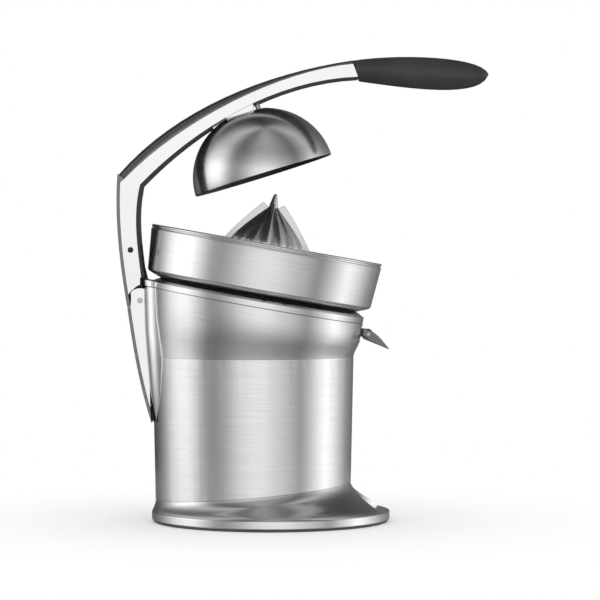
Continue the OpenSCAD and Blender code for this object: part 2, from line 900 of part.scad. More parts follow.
// Crowned section of the beam's cover at one step along its curves
function cover_ring(i) = let (
    low = cover_line[i],
    high = beam_line[i],
    along = max(0, min(1, (low[0] - elbow[0]) / (grip_heel[0] - elbow[0]))),
    half = mix(leg_w, beam_w, along) / 2 - crown_inset,
    edge = mix(low, high, crown_edge_share)) concat(
    [[low[0], -half, low[1]]],
    [for (k = [0:crown_steps]) let (a = 180 * k / crown_steps, rise = pow(sin(a), crown_power))
        let (p = mix(edge, high, rise)) [p[0], -half * cos(a), p[1]]],
    [[low[0], half, low[1]]]);

// Brushed steel strip on the leg's back
module leg_cover() {
    color(steel) slab(concat(
        leg_line,
        [kink_inner - [seam, seam]],
        flip([for (i = [0:len(leg_cover_line) - 2]) leg_cover_line[i]])), leg_w - 2 * seam);
}

// Dark lining between two places along the arm's inner side
module lining(from, to, width) {
    color(dark) slab(concat(
        [for (i = [from:to]) under_line[i]],
        flip([for (i = [from:to]) lip_line[i]])), width);
}

// The lining keeps clear of the tail, of the links and of the boss round the control pin
module leg_lining() {
    pocket_y = leg_w / 2 - lining_inset - control_pin_wall + free_gap;
    difference() {
        intersection() {
            lining(0, lining_rear_last, leg_w);
            plan_taper(lining_inset);
        }
        color(dark) tail_cut();
        color(dark) rocker_window();
        color(dark) at_control_head(control_pin_r + control_pin_wall + free_gap, 0, pocket_y);
    }
}

// Opening in the lining through which the two links swing
module rocker_window() {
    translate([lip_foot[0] - base_r / 2, -(lane_w / 2), lip_foot[1] - base_r])
        cube([base_r, lane_w, base_r + lining_rise + machine_z - lip_foot[1]]);
}

module beam_lining() {
    difference() {
        intersection() {
            lining(lining_front_first, len(under_line) - 1, leg_w);
            plan_taper(lining_inset);
        }
        color(dark) on_dome()
            translate([post_offset, 0, dome_h]) cylinder(r = post_rod_r + fit_gap, h = dome_h);
    }
}

module swing_pin() {
    color(dark) cross_rod(swing_pivot, pin_r, leg_w + 2 * pin_stand);
}

module control_pin_upper() {
    end_y = lane_w / 2 + control_pin_seat - fit_gap;
    color(steel) at_control_head(control_pin_r, link_y - link_w / 2, end_y);
}

// Bar that joins the casting to the grip
module tang_form(gap) {
    at = from_machine(tang_place);
    translate([at[0] - gap, -tang_w / 2 - gap, at[1] - tang_h / 2 - gap])
        cube([tang_len + 2 * gap, tang_w + 2 * gap, tang_h + 2 * gap]);
}

module grip_tang() {
    color(steel) tang_form(0);
}

// One oval section of the grip; its share runs from the casting to the tip
function grip_ring(share) = let (
    top = on_bow(beam_end, 9, grip_handle, grip_tip, -75, grip_high_handle, share),
    low = on_bow(grip_heel, -8, grip_handle, grip_tip, 75, grip_low_handle, share),
    swell = mix(beam_w, grip_w, sin(90 * min(1, share / grip_swell_share))) / 2,
    past = max(0, share - grip_swell_share) / (1 + grip_blunt_share - grip_swell_share),
    close = sqrt(max(grip_blunt_share, 1 - pow(past, grip_close_power))))
    [for (k = [0:grip_sides - 1]) let (
        a = 360 * k / grip_sides,
        lift = sign(sin(a)) * pow(abs(sin(a)), grip_power),
        side = sign(cos(a)) * pow(abs(cos(a)), grip_power),
        at = mix(low, top, (1 + lift) / 2)) [at[0] + seam, swell * close * side, at[1]]];

module grip() {
    color(rubber) difference() {
        skin([for (i = [0:grip_rings]) grip_ring(grip_end_share * i / grip_rings)]);
        tang_form(fit_gap);
    }
}

module on_dome() { translate([dome_at[0], 0, dome_at[1]]) rotate([0, -dome_tilt, 0]) children(); }

function dome_point(r, h) = dome_at + [
    r * cos(dome_tilt) - h * sin(dome_tilt),
    r * sin(dome_tilt) + h * cos(dome_tilt)];

// Height of the full ellipse that the flat crown cuts off
dome_rise = dome_h / sqrt(1 - pow(crown_r / dome_r, 2));

// Quarter profile of the dome at a depth below its outer face, from the rim to the crown
function dome_profile(inset) = let (
    top = asin((dome_h - inset) / (dome_rise - inset))) [for (i = [0:dome_steps]) let (
        a = top * i / dome_steps) [(dome_r - inset) * cos(a), (dome_rise - inset) * sin(a)]];

module dome_layer(outer, inner) {
    rotate_extrude() polygon(concat(
        dome_profile(outer),
        [[0, dome_h - outer], [0, dome_h - inner]],
        flip(dome_profile(inner))));
}

module press_dome() {
    color(steel) on_dome() difference() {
        dome_layer(0, dome_t);
        dome_screw_hole();
    }
}

module dome_liner() {
    color(dark) on_dome() difference() {
        dome_layer(dome_t + liner_gap, dome_t + liner_t);
        dome_screw_hole();
    }
}

module dome_screw_hole() {
    translate([0, 0, dome_h / 2]) cylinder(r = dome_screw_r + fit_gap, h = dome_h);
}

// Wedge between the arm's underside and the flat crown
module dome_bracket() {
    color(polished) difference() {
        slab([
            dome_point(-crown_r + bracket_edge, dome_h),
            dome_point(post_offset - 2 * post_rod_r, dome_h),
            lip_line[bracket_last],
            lip_line[bracket_last - 1],
            lip_line[bracket_last - 2]], bracket_w);
        on_dome() dome_screw_hole();
    }
}

module dome_post() {
    color(steel) intersection() {
        on_dome() translate([post_offset, 0, dome_h]) cylinder(r = post_rod_r, h = crown_r);
        slab(concat([dome_at - [0, dome_r], dome_at + [dome_r, 0]], flip(lip_line)), leg_w);
    }
}

module dome_screws() {
    head_h = dome_h - dome_t - liner_t - dome_screw_head_h;
    color(steel) on_dome() {
        translate([0, 0, head_h]) cylinder(r = dome_screw_head_r, h = dome_screw_head_h - free_gap / 4);
        translate([0, 0, head_h]) cylinder(r = dome_screw_r, h = dome_h - head_h + dome_screw_grip);
    }
}

// Outline of the cone's body from the tip of its finger to its foot
function cone_outline() = concat(
    arc([0, cone_tip_u - finger_tip_r], finger_tip_r, 90, 15, curve_steps / 2),
    bow([finger_r, cone_apex_u], -32, cone_handle, [cone_body_r, bowl_h], -60, cone_handle),
    [[cone_foot_r - cone_t, cone_foot_u + cone_t], [cone_foot_r, cone_foot_u + cone_t],
        [cone_foot_r, cone_foot_u], [0, cone_foot_u]]);

// Upright blade on the cone: its outline starts at the shoulder and ends at the foot
module cone_blade(top_r, top_u, rim_r, foot_r, thickness) {
    rotate([90, 0, 0]) translate([0, 0, -thickness / 2]) linear_extrude(thickness) polygon(concat(
        [[0, cone_apex_u - fit_gap], [finger_r - fit_gap, cone_apex_u - fit_gap]],
        bow([top_r, top_u], -45, rim_r / 3, [rim_r, bowl_h], -57, rim_r / 3),
        [[foot_r, cone_foot_u + cone_t], [0, cone_foot_u + cone_t]]));
}

// Cone with four tall fins, three ribs between each two of them, a finger on top and a hollow below
module reamer_cone() {
    fin_pitch = 360 / fin_count;
    rib_foot_r = cone_foot_r - fin_t / 2;
    color(moulding) on_machine() difference() {
        union() {
            rotate_extrude() polygon(cone_outline());
            for (i = [0:fin_count - 1]) rotate([0, 0, fin_pitch * i]) {
                cone_blade(shoulder_r, shoulder_u, fin_r, cone_foot_r - fit_gap, fin_t);
                for (k = [1:ribs_between]) rotate([0, 0, fin_pitch * k / (ribs_between + 1)])
                    cone_blade(finger_r, cone_apex_u - rib_step, cone_body_r + rib_step, rib_foot_r, rib_t);
            }
        }
        cone_cavity();
        translate([0, 0, cone_foot_u - cut]) linear_extrude(spindle_top_u - cone_foot_u + cut + free_gap)
            spindle_section(fit_gap);
    }
}

// Hollow of the moulded cone round its hub
module cone_cavity() {
    rotate_extrude() polygon([
        [hub_r, cone_foot_u - cut],
        [cone_foot_r - 2 * cone_t, cone_foot_u - cut],
        [cone_body_r - cone_t, bowl_h],
        [hub_r, cone_apex_u - 4 * cone_t]]);
}

// Spindle with one drive flat
module spindle_section(gap) {
    difference() {
        circle(r = spindle_r + gap);
        translate([spindle_r - drive_flat + gap, -2 * spindle_r]) square(4 * spindle_r);
    }
}

module cone_spindle() {
    foot_u = lower_plate_u - bush_flange_t;
    color(steel) on_machine() union() {
        translate([0, 0, foot_u]) cylinder(r = spindle_r, h = cone_foot_u - foot_u);
        translate([0, 0, cone_foot_u]) linear_extrude(spindle_top_u - cone_foot_u) spindle_section(0);
    }
}

// Gear with straight flanked teeth; one tooth points along the angle phase
module gear(teeth, size, thickness, phase) {
    pitch_r = size * teeth / 2;
    tip_r = pitch_r + addendum_share * size;
    root_r = pitch_r - dedendum_share * size;
    half_tooth = tooth_share * PI * size / 4;
    rotate([0, 0, phase]) linear_extrude(thickness) polygon([for (i = [0:teeth - 1]) each [
        polar(360 * i / teeth - flank_angle(root_r, pitch_r, half_tooth), root_r),
        polar(360 * i / teeth - flank_angle(tip_r, pitch_r, half_tooth), tip_r),
        polar(360 * i / teeth + flank_angle(tip_r, pitch_r, half_tooth), tip_r),
        polar(360 * i / teeth + flank_angle(root_r, pitch_r, half_tooth), root_r)]]);
}

// Half the angle that a tooth fills at radius r
function flank_angle(r, pitch_r, half_tooth) =
    (half_tooth - (r - pitch_r) * tan(pressure_angle)) / r * 180 / PI;

module output_gear() {
    color(moulding) on_machine() translate([0, 0, stage_two_u]) difference() {
        gear(large_teeth, output_module, gear_t, 90);
        translate([0, 0, -cut]) cylinder(r = spindle_r + fit_gap / 2, h = gear_t + 2 * cut);
    }
}

module idler_gear() {
    color(brass) on_machine() translate([idler_at[0], idler_at[1], stage_one_u]) difference() {
        union() {
            gear(large_teeth, motor_module, pinion_t, motor_angle);
            cylinder(r = idler_hub_r, h = stage_two_u - stage_one_u);
            translate([0, 0, stage_two_u - stage_one_u])
                gear(small_teeth, output_module, gear_t, 270 + 180 / small_teeth);
        }
        translate([0, 0, -cut]) cylinder(r = idler_pin_r + fit_gap, h = 4 * gear_t);
    }
}

module idler_pin() {
    color(steel) on_machine() translate([idler_at[0], idler_at[1], lower_plate_u])
        cylinder(r = idler_pin_r, h = upper_plate_u + plate_t - lower_plate_u);
}

module motor_pinion() {
    color(brass) on_machine() translate([motor_at[0], motor_at[1], stage_one_u - seam]) difference() {
        gear(small_teeth, motor_module, pinion_t + 2 * seam, motor_angle + 180 + 180 / small_teeth);
        translate([0, 0, -cut]) cylinder(r = motor_shaft_r + fit_gap / 2, h = pinion_t + 4 * cut);
    }
}

module plate_disc(u) {
    translate([plate_at[0], plate_at[1], u]) cylinder(r = plate_r, h = plate_t);
}

module post_places(u) {
    for (a = post_angles) let (at = plate_at + polar(a, post_ring_r))
        translate([at[0], at[1], u]) children();
}

module gear_plate_upper() {
    color(steel) on_machine() difference() {
        plate_disc(upper_plate_u);
        translate([0, 0, upper_plate_u - cut])
            cylinder(r = spindle_r + plate_bore_gap, h = plate_t + 2 * cut);
        translate([idler_at[0], idler_at[1], upper_plate_u - cut])
            cylinder(r = idler_pin_r + fit_gap / 2, h = plate_t + 2 * cut);
    }
}

module gear_plate_lower() {
    color(steel) on_machine() difference() {
        plate_disc(lower_plate_u);
        translate([0, 0, lower_plate_u - cut]) cylinder(r = bush_r + fit_gap / 2, h = plate_t + 2 * cut);
        translate([idler_at[0], idler_at[1], lower_plate_u - cut])
            cylinder(r = idler_pin_r + fit_gap / 2, h = plate_t + 2 * cut);
        translate([motor_at[0], motor_at[1], lower_plate_u - cut])
            cylinder(r = motor_bush_r + free_gap, h = plate_t + 2 * cut);
    }
}

module plate_posts() {
    color(steel) on_machine() post_places(lower_plate_u + plate_t)
        cylinder(r = post_r, h = upper_plate_u - lower_plate_u - plate_t);
}

module deck_posts() {
    color(steel) on_machine() post_places(upper_plate_u + plate_t)
        cylinder(r = post_r, h = deck_top_u - deck_t - upper_plate_u - plate_t);
}

module at_motor(u) {
    on_machine() translate([motor_at[0], motor_at[1], u]) children();
}

motor_foot_u = lower_plate_u - motor_h;

module motor_case() {
    color(steel) at_motor(motor_foot_u) difference() {
        cylinder(r = motor_r, h = motor_h);
        translate([0, 0, motor_end_t]) cylinder(r = motor_r - motor_wall, h = motor_h - 2 * motor_end_t);
        translate([0, 0, -cut]) cylinder(r = motor_bush_r + fit_gap / 2, h = motor_h + 2 * cut);
    }
}

module motor_stator() {
    color(dark) at_motor(motor_foot_u + motor_end_t + motor_bush_t) difference() {
        cylinder(r = motor_r - motor_wall - fit_gap, h = motor_h - 2 * motor_end_t - 2 * motor_bush_t);
        translate([0, 0, -cut])
            cylinder(r = motor_r - motor_wall - stator_t, h = motor_h);
    }
}

module motor_bushes() {
    color(brass) for (u = [motor_foot_u, lower_plate_u - motor_bush_t]) at_motor(u) difference() {
        cylinder(r = motor_bush_r, h = motor_bush_t);
        translate([0, 0, -cut]) cylinder(r = motor_shaft_r + fit_gap, h = motor_bush_t + 2 * cut);
    }
}

module motor_rotor() {
    core_foot = motor_foot_u + motor_end_t + motor_bush_t;
    color(steel) {
        at_motor(motor_foot_u) cylinder(r = motor_shaft_r, h = stage_one_u + pinion_t + seam - motor_foot_u);
        at_motor(core_foot + seam)
            cylinder(r = motor_r - motor_wall - stator_t - rotor_gap,
                h = motor_h - 2 * motor_end_t - 2 * motor_bush_t - 2 * seam);
    }
}

module start_switch() {
    color(dark) on_machine()
        translate([switch_at[0], switch_at[1], deck_top_u - deck_t - switch_size[2]]) cube(switch_size);
}

// Deck that closes the head under the bowl and carries the upper bush in its boss
module head_deck() {
    foot_u = deck_top_u - deck_t;
    boss_u = foot_u - deck_boss_h;
    color(dark) on_machine() difference() {
        union() {
            translate([0, 0, foot_u]) cylinder(r = collar_inner_r - free_gap / 4, h = deck_t);
            translate([0, 0, boss_u]) cylinder(r = deck_boss_r, h = deck_boss_h + deck_t / 2);
        }
        translate([0, 0, boss_u - cut])
            cylinder(r = bush_r + fit_gap / 2, h = deck_t + deck_boss_h + 2 * cut);
        translate([drain_x, 0, foot_u - cut])
            cylinder(r = drain_r + drain_wall + free_gap, h = deck_t + 2 * cut);
    }
}

// Flanged bush whose flange lies under the place that it is pressed into
module flanged_bush(u, length) {
    on_machine() translate([0, 0, u]) difference() {
        union() {
            cylinder(r = bush_r, h = length);
            translate([0, 0, -bush_flange_t]) cylinder(r = bush_flange_r, h = bush_flange_t);
        }
        translate([0, 0, -bush_flange_t - cut])
            cylinder(r = spindle_r + fit_gap, h = length + bush_flange_t + 2 * cut);
    }
}

module spindle_bushes() {
    color(brass) {
        flanged_bush(deck_top_u - deck_t - deck_boss_h, deck_t + deck_boss_h);
        flanged_bush(lower_plate_u, plate_t);
    }
}

module shaft_seal() {
    color(dark) on_machine() translate([0, 0, bowl_underside_u]) difference() {
        cylinder(r = seal_seat_r - fit_gap / 2, h = bowl_floor_t);
        translate([0, 0, -cut]) cylinder(r = spindle_r + fit_gap, h = bowl_floor_t + 2 * cut);
    }
}

// Section of the bowl: rolled rim, thin wall, dished floor and the tower round the spindle
module bowl_section() {
    floor_u = bowl_underside_u + bowl_floor_t;
    wall_foot = bowl_foot_r - bowl_t;
    polygon(concat(
        [[seal_seat_r, bowl_underside_u], [collar_inner_r, bowl_underside_u],
            [bowl_foot_r - 1.5 * bowl_floor_t, -bowl_t], [bowl_foot_r, bowl_floor_t]],
        arc([bowl_rim_r - rim_roll_r, bowl_h - rim_roll_r], rim_roll_r, 0, 180, 8),
        [[wall_foot, 2 * bowl_floor_t], [collar_inner_r, floor_u + bowl_t], [tower_r, floor_u],
            [tower_r, tower_u], [seal_seat_r, tower_u]]));
}

// Bowl with the drain that leads to the spout's duct
module juice_bowl() {
    drain_h = bowl_underside_u - drain_u + bowl_floor_t / 2;
    color(steel) on_machine() difference() {
        union() {
            rotate_extrude() bowl_section();
            translate([drain_x, 0, drain_u]) cylinder(r = drain_r + drain_wall, h = drain_h);
        }
        translate([drain_x, 0, drain_u - cut]) cylinder(r = drain_r, h = machine_z / 8);
    }
}

// Basket that holds back pips and pulp; its floor is slotted
module filter_basket() {
    color(moulding) on_machine() difference() {
        rotate_extrude() polygon([
            [spindle_r + 4 * free_gap, basket_u],
            [basket_foot_r, basket_u],
            [basket_rim_r, basket_rim_u],
            [basket_rim_r - basket_t, basket_rim_u],
            [basket_foot_r - basket_t, basket_u + basket_t],
            [spindle_r + 4 * free_gap, basket_u + basket_t]]);
        for (i = [0:basket_slots - 1]) rotate([0, 0, 360 * (i + 0.5) / basket_slots])
            translate([slot_from_r, -slot_w / 2, basket_u - cut])
                cube([slot_to_r - slot_from_r, slot_w, basket_t + 2 * cut]);
    }
}

// Side outline of the duct from the bowl's drain to the spout
function duct_outline(inset, lift) = [
    machine_point(duct_rear_r + inset, deck_top_u - deck_t + lift),
    machine_point(duct_front_r, deck_top_u - deck_t + lift),
    [spout_root[0], spout_axis[1] + duct_nose_r + lift],
    [spout_axis[0] + inset, spout_axis[1] + duct_nose_r + lift],
    [spout_axis[0] + inset, spout_axis[1] - duct_nose_r / 2 + inset],
    [spout_root[0], spout_axis[1] - duct_nose_r / 2 - duct_t / 2 + inset],
    [duct_heel[0] + inset, duct_heel[1] + inset]];

// Duct from the bowl's drain to the spout, open at its top and its nose
module spout_duct() {
    color(dark) difference() {
        union() {
            slab(duct_outline(0, 0), duct_w);
            cross_rod(spout_axis, duct_nose_r, duct_w);
        }
        slab(duct_outline(duct_t, duct_w), duct_w - 2 * duct_t);
        cross_rod(spout_axis, duct_nose_r + cut, duct_w - 2 * duct_t);
        cross_rod(spout_axis, spout_pin_r + fit_gap, 2 * duct_w);
    }
}

module spout_pin() {
    color(steel) cross_rod(spout_axis, spout_pin_r, spout_w);
}

// Curve of the spout's side walls from its root to its tip
spout_edge = bow(spout_root, -10, spout_handles[0], spout_tip, -48, spout_handles[1], curve_steps / 2);

// Open spout that tips up on its pin and so stops the juice
module drip_spout() {
    inner_w = spout_w - 2 * spout_t;
    color(steel) difference() {
        slab(concat([spout_heel], spout_edge), spout_w);
        slab(concat(
            [spout_heel + [-2 * spout_t, spout_t + 2 * spout_t * spout_fall]],
            [spout_root + [-2 * spout_t, spout_w]],
            [spout_tip + [2 * spout_t, spout_w]],
            [spout_tip + [2 * spout_t, spout_t - 2 * spout_t * spout_fall]]), inner_w);
        cross_rod(spout_axis, spout_pin_r + fit_gap, 2 * spout_w);
    }
}

foot_ring();
base_skirt();
base_cover();
cover_screws();
cord_gland();
column_shell();
head_shell();
collar_ring();
rear_spine();
hinge_bracket();
bracket_cover();
bracket_screws();
head_deck();
spindle_bushes();
shaft_seal();
deck_posts();
gear_plate_upper();
gear_plate_lower();
plate_posts();
idler_pin();
motor_case();
motor_stator();
motor_bushes();
start_switch();
juice_bowl();
filter_basket();
spout_duct();
spout_pin();
rocker_pin();
control_pin_lower();
rocker_link();
control_link();
arm_casting();
beam_cover();
leg_cover();
leg_lining();
beam_lining();
swing_pin();
control_pin_upper();
grip_tang();
grip();
press_dome();
dome_liner();
dome_bracket();
dome_post();
dome_screws();
reamer_cone();
cone_spindle();
output_gear();
idler_gear();
motor_pinion();
motor_rotor();
drip_spout();
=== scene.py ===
"""Looks of a lever citrus juice press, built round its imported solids. Lengths are in metres."""

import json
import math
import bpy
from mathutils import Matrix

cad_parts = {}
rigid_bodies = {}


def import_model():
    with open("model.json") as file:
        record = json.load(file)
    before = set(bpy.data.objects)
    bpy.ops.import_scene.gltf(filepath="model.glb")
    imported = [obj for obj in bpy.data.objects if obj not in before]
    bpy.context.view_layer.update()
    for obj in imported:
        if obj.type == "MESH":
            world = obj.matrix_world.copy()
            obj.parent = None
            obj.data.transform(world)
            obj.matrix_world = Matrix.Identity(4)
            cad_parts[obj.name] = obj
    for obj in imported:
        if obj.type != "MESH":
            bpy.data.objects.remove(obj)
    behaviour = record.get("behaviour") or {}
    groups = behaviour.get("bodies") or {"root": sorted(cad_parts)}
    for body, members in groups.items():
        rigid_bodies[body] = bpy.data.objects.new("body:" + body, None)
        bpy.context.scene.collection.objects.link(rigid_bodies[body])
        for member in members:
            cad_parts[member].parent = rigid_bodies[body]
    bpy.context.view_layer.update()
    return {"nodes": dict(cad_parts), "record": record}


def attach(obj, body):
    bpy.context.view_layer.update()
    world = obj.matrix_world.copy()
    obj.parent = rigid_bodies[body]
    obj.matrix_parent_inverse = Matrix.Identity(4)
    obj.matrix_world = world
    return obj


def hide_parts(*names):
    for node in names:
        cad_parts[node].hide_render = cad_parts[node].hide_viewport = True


bl_info = {
    "name": "Lever citrus press",
    "version": (1, 0, 0),
    "blender": (4, 5, 0),
    "location": "3D View > Sidebar > Press",
    "description": "Dresses the solids of a lever citrus juice press and sets up its studio",
    "category": "Object",
}

import bpy
from mathutils import Matrix, Vector

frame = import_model()

MM = 0.001
CIRCLE = 2 * math.pi
ORIGIN = (0, 0, 0)
# Points that lie closer together than this are one point, in a drawn piece and in a copied solid
WELD = 0.004 * MM
COPY_WELD = 0.01 * MM
# Neighbouring faces of a copied solid that bend less than this are one face
COPY_FLAT = math.radians(0.4)
LEAN = math.radians(10)
DOME_TILT = math.radians(-17.3)
MACHINE_FOOT = Vector((-0.011, 0, 0.22))
DOME_RIM = Vector((-0.0068, 0, 0.3275))
# How far the column stands behind the base's centre, in millimetres
COLUMN_BACK = 16.8
COLUMN_FOOT = Vector((-COLUMN_BACK * MM, 0, 0))
# Centre of the arc that the arm's beam follows
ARM_CENTRE = Vector((0.1288, 0, 0.0916))
BODY_OF = {node: body for body, nodes in frame["record"]["behaviour"]["bodies"].items() for node in nodes}


# Working in edit mode


def only_nothing():
    """Leaves edit mode and selects nothing."""
    if bpy.context.object and bpy.context.object.mode != "OBJECT":
        bpy.ops.object.mode_set(mode="OBJECT")
    for item in bpy.context.scene.objects:
        item.select_set(False)


def only(*objects):
    """Selects these objects and nothing else; the first one is active."""
    only_nothing()
    for item in objects:
        item.select_set(True)
    bpy.context.view_layer.objects.active = objects[0]


def edit_all(obj):
    """Opens a piece in edit mode with all of it selected."""
    only(obj)
    bpy.ops.object.mode_set(mode="EDIT")
    bpy.ops.mesh.select_all(action="SELECT")


def close_edit():
    """Goes back to object mode."""
    bpy.ops.object.mode_set(mode="OBJECT")


def turn(angle, axis, about):
    """Turns the selection by the right-hand rule; without a window the operator turns the other way."""
    bpy.ops.transform.rotate(value=-angle, orient_axis=axis, orient_type="GLOBAL", center_override=about)


def grow(factors, about=ORIGIN):
    """Scales the selection about a point."""
    bpy.ops.transform.resize(value=factors, orient_type="GLOBAL", center_override=about)


def shift(by):
    """Moves the selection."""
    bpy.ops.transform.translate(value=by, orient_type="GLOBAL")


def extrude(by):
    """Extrudes the selection and moves what is new."""
    bpy.ops.mesh.extrude_region_move(TRANSFORM_OT_translate={"value": by})


def pick(obj, test, kind="FACE"):
    """Selects what passes a test: a face or vertex by its place and normal, an edge by its two ends."""
    bpy.ops.object.mode_set(mode="EDIT")
    bpy.ops.mesh.select_mode(type=kind)
    bpy.ops.object.mode_set(mode="OBJECT")
    mesh = obj.data
    mesh.vertices.foreach_set("select", [False] * len(mesh.vertices))
    mesh.edges.foreach_set("select", [False] * len(mesh.edges))
    mesh.polygons.foreach_set("select", [False] * len(mesh.polygons))
    if kind == "FACE":
        for face in mesh.polygons:
            face.select = test(face.center, face.normal)
    elif kind == "EDGE":
        for edge in mesh.edges:
            a, b = (mesh.vertices[i].co for i in edge.vertices)
            edge.select = test(a, b)
    else:
        for vertex in mesh.vertices:
            vertex.select = test(vertex.co, vertex.normal)
    bpy.ops.object.mode_set(mode="EDIT")


def draw_line(name, points, closed=False):
    """Draws a line vertex by vertex and leaves it in edit mode."""
    only_nothing()
    bpy.ops.mesh.primitive_plane_add(size=MM, location=ORIGIN)
    obj = bpy.context.object
    obj.name = obj.data.name = name
    bpy.ops.object.mode_set(mode="EDIT")
    bpy.ops.mesh.select_all(action="SELECT")
    bpy.ops.mesh.merge(type="CENTER")
    bpy.ops.mesh.select_mode(type="VERT")
    bpy.ops.mesh.select_all(action="SELECT")
    shift(points[0])
    for a, b in zip(points, points[1:]):
        extrude(Vector(b) - Vector(a))
    if closed:
        first, last = Vector(points[0]), Vector(points[-1])
        pick(obj, lambda at, _: min((at - first).length, (at - last).length) < WELD, "VERT")
        bpy.ops.mesh.edge_face_add()
    return obj


def fair_normals():
    """Welds the piece in edit mode and turns its normals outward."""
    bpy.ops.mesh.select_all(action="SELECT")
    bpy.ops.mesh.remove_doubles(threshold=WELD)
    bpy.ops.mesh.normals_make_consistent(inside=False)


def turned(name, profile, at=MACHINE_FOOT, lean=LEAN, steps=144):
    """Spins a profile of (radius, height) in millimetres round an axis that leans forward."""
    obj = draw_line(name, [(r * MM, 0, h * MM) for r, h in profile])
    bpy.ops.mesh.select_all(action="SELECT")
    bpy.ops.mesh.spin(steps=steps, angle=CIRCLE, center=ORIGIN, axis=(0, 0, 1))
    fair_normals()
    turn(lean, "Y", ORIGIN)
    shift(at)
    close_edit()
    return obj


def slab(name, outline, width):
    """Fills an outline in the XZ plane and extrudes it across the press."""
    obj = draw_line(name, [(x * MM, -width / 2 * MM, z * MM) for x, z in outline], closed=True)
    bpy.ops.mesh.select_all(action="SELECT")
    bpy.ops.mesh.edge_face_add()
    extrude((0, width * MM, 0))
    fair_normals()
    close_edit()
    return obj


def circle(name, steps, r):
    """Draws an open circle round the origin and leaves it in edit mode, selected."""
    only_nothing()
    bpy.ops.mesh.primitive_circle_add(vertices=steps, radius=r * MM, fill_type="NOTHING", location=ORIGIN)
    obj = bpy.context.object
    obj.name = obj.data.name = name
    edit_all(obj)
    return obj


def pick_open_rims():
    """Selects the edges that have a face on one side only."""
    bpy.ops.mesh.select_all(action="DESELECT")
    bpy.ops.mesh.select_mode(type="EDGE")
    bpy.ops.mesh.select_non_manifold()


def pull(name, rings, steps=144):
    """Pulls a circle through rings, each (centre x, centre z, radius, tilt), and closes it to a tube."""
    x, z, r, tilt = rings[0]
    obj = circle(name, steps, r)
    turn(tilt, "Y", ORIGIN)
    at = Vector((x * MM, 0, z * MM))
    shift(at)
    for (x0, z0, r0, t0), (x1, z1, r1, t1) in zip(rings, rings[1:]):
        step = Vector(((x1 - x0) * MM, 0, (z1 - z0) * MM))
        extrude(step)
        at = at + step
        turn(t1 - t0, "Y", at)
        grow((r1 / r0,) * 3, at)
    pick_open_rims()
    bpy.ops.mesh.bridge_edge_loops()
    fair_normals()
    close_edit()
    return obj


def arc(x, z, r, from_angle, to_angle, steps):
    """Points on an arc in a plane, its angles in degrees."""
    turns = [math.radians(from_angle + (to_angle - from_angle) * i / steps) for i in range(steps + 1)]
    return [(x + r * math.cos(a), z + r * math.sin(a)) for a in turns]


def merge_into(obj, *others):
    """Joins the other pieces to the first."""
    name = obj.name
    only(obj, *others)
    bpy.ops.object.join()
    obj.name = obj.data.name = name
    return obj


def cap_ends():
    """Fills every open rim of the piece in edit mode."""
    pick_open_rims()
    bpy.ops.mesh.edge_face_add()
    fair_normals()
    close_edit()


def apply_all(obj):
    """Applies the modifiers in order and leaves the piece alone selected."""
    only(obj)
    for name in [modifier.name for modifier in obj.modifiers]:
        bpy.ops.object.modifier_apply(modifier=name)


def soften(obj, width, segments=3, limit=32, smooth=38):
    """Rounds the sharp edges and shades the rest smooth."""
    if width:
        rounding = obj.modifiers.new("rounding", "BEVEL")
        rounding.width = width * MM
        rounding.segments = segments
        rounding.limit_method = "ANGLE"
        rounding.angle_limit = math.radians(limit)
        rounding.harden_normals = False
        rounding.use_clamp_overlap = True
    apply_all(obj)
    bpy.ops.object.shade_smooth_by_angle(angle=math.radians(smooth))
    level = obj.modifiers.new("level", "WEIGHTED_NORMAL")
    level.mode = "FACE_AREA"
    level.weight = 80
    level.keep_sharp = True
    apply_all(obj)


def carve(obj, cutter, operation="DIFFERENCE"):
    """Cuts one piece from another, or joins it on, and removes it."""
    tool = obj.modifiers.new("carve", "BOOLEAN")
    tool.operation = operation
    tool.solver = "EXACT"
    tool.object = cutter
    apply_all(obj)
    bpy.data.objects.remove(cutter, do_unlink=True)


def finer(node, width, segments, smooth):
    """A merged copy of a solid with its edges rounded, which stands for the solid."""
    source = frame["nodes"][node]
    only_nothing()
    copy = source.copy()
    copy.data = source.data.copy()
    copy.name = copy.data.name = node + "_finish"
    bpy.context.scene.collection.objects.link(copy)
    copy.parent = None
    edit_all(copy)
    bpy.ops.mesh.customdata_custom_splitnormals_clear()
    bpy.ops.mesh.remove_doubles(threshold=COPY_WELD)
    bpy.ops.mesh.dissolve_limited(angle_limit=COPY_FLAT)
    close_edit()
    soften(copy, width, segments, smooth=smooth)
    return copy


def finish_piece(obj, finish, node):
    """Gives a piece its material, its body and the solid that it stands for."""
    cover(obj, finish)
    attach(obj, BODY_OF[node])
    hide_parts(node)


def cover(obj, finish):
    """Gives an object one material."""
    obj.data.materials.clear()
    obj.data.materials.append(FINISHES[finish])


def refine(finish, width, *nodes, segments=2, smooth=38):
    """Puts finer copies in the place of solids."""
    for node in nodes:
        finish_piece(finer(node, width, segments, smooth), finish, node)


def dress(finish, *nodes):
    """Gives solids that stay in view their material."""
    for node in nodes:
        cover(frame["nodes"][node], finish)


def machine(r, u):
    """A step out from the leaning axis and along it, in millimetres."""
    return Matrix.Rotation(LEAN, 3, "Y") @ Vector((r * MM, 0, u * MM))



def polar(degrees, length):
    """A step in a plane, by its direction and length."""
    return Vector((length * math.cos(math.radians(degrees)), length * math.sin(math.radians(degrees))))


def bow(a, from_angle, from_len, d, to_angle, to_len, steps):
    """Points on a cubic curve from a to d, given by the direction and length of its two handles."""
    a, d = Vector(a), Vector(d)
    b, c = a + polar(from_angle, from_len), d - polar(to_angle, to_len)
    points = []
    for i in range(steps + 1):
        t = i / steps
        s = 1 - t
        points.append(s * s * s * a + 3 * s * s * t * b + 3 * s * t * t * c + t * t * t * d)
    return points


# Shader maths


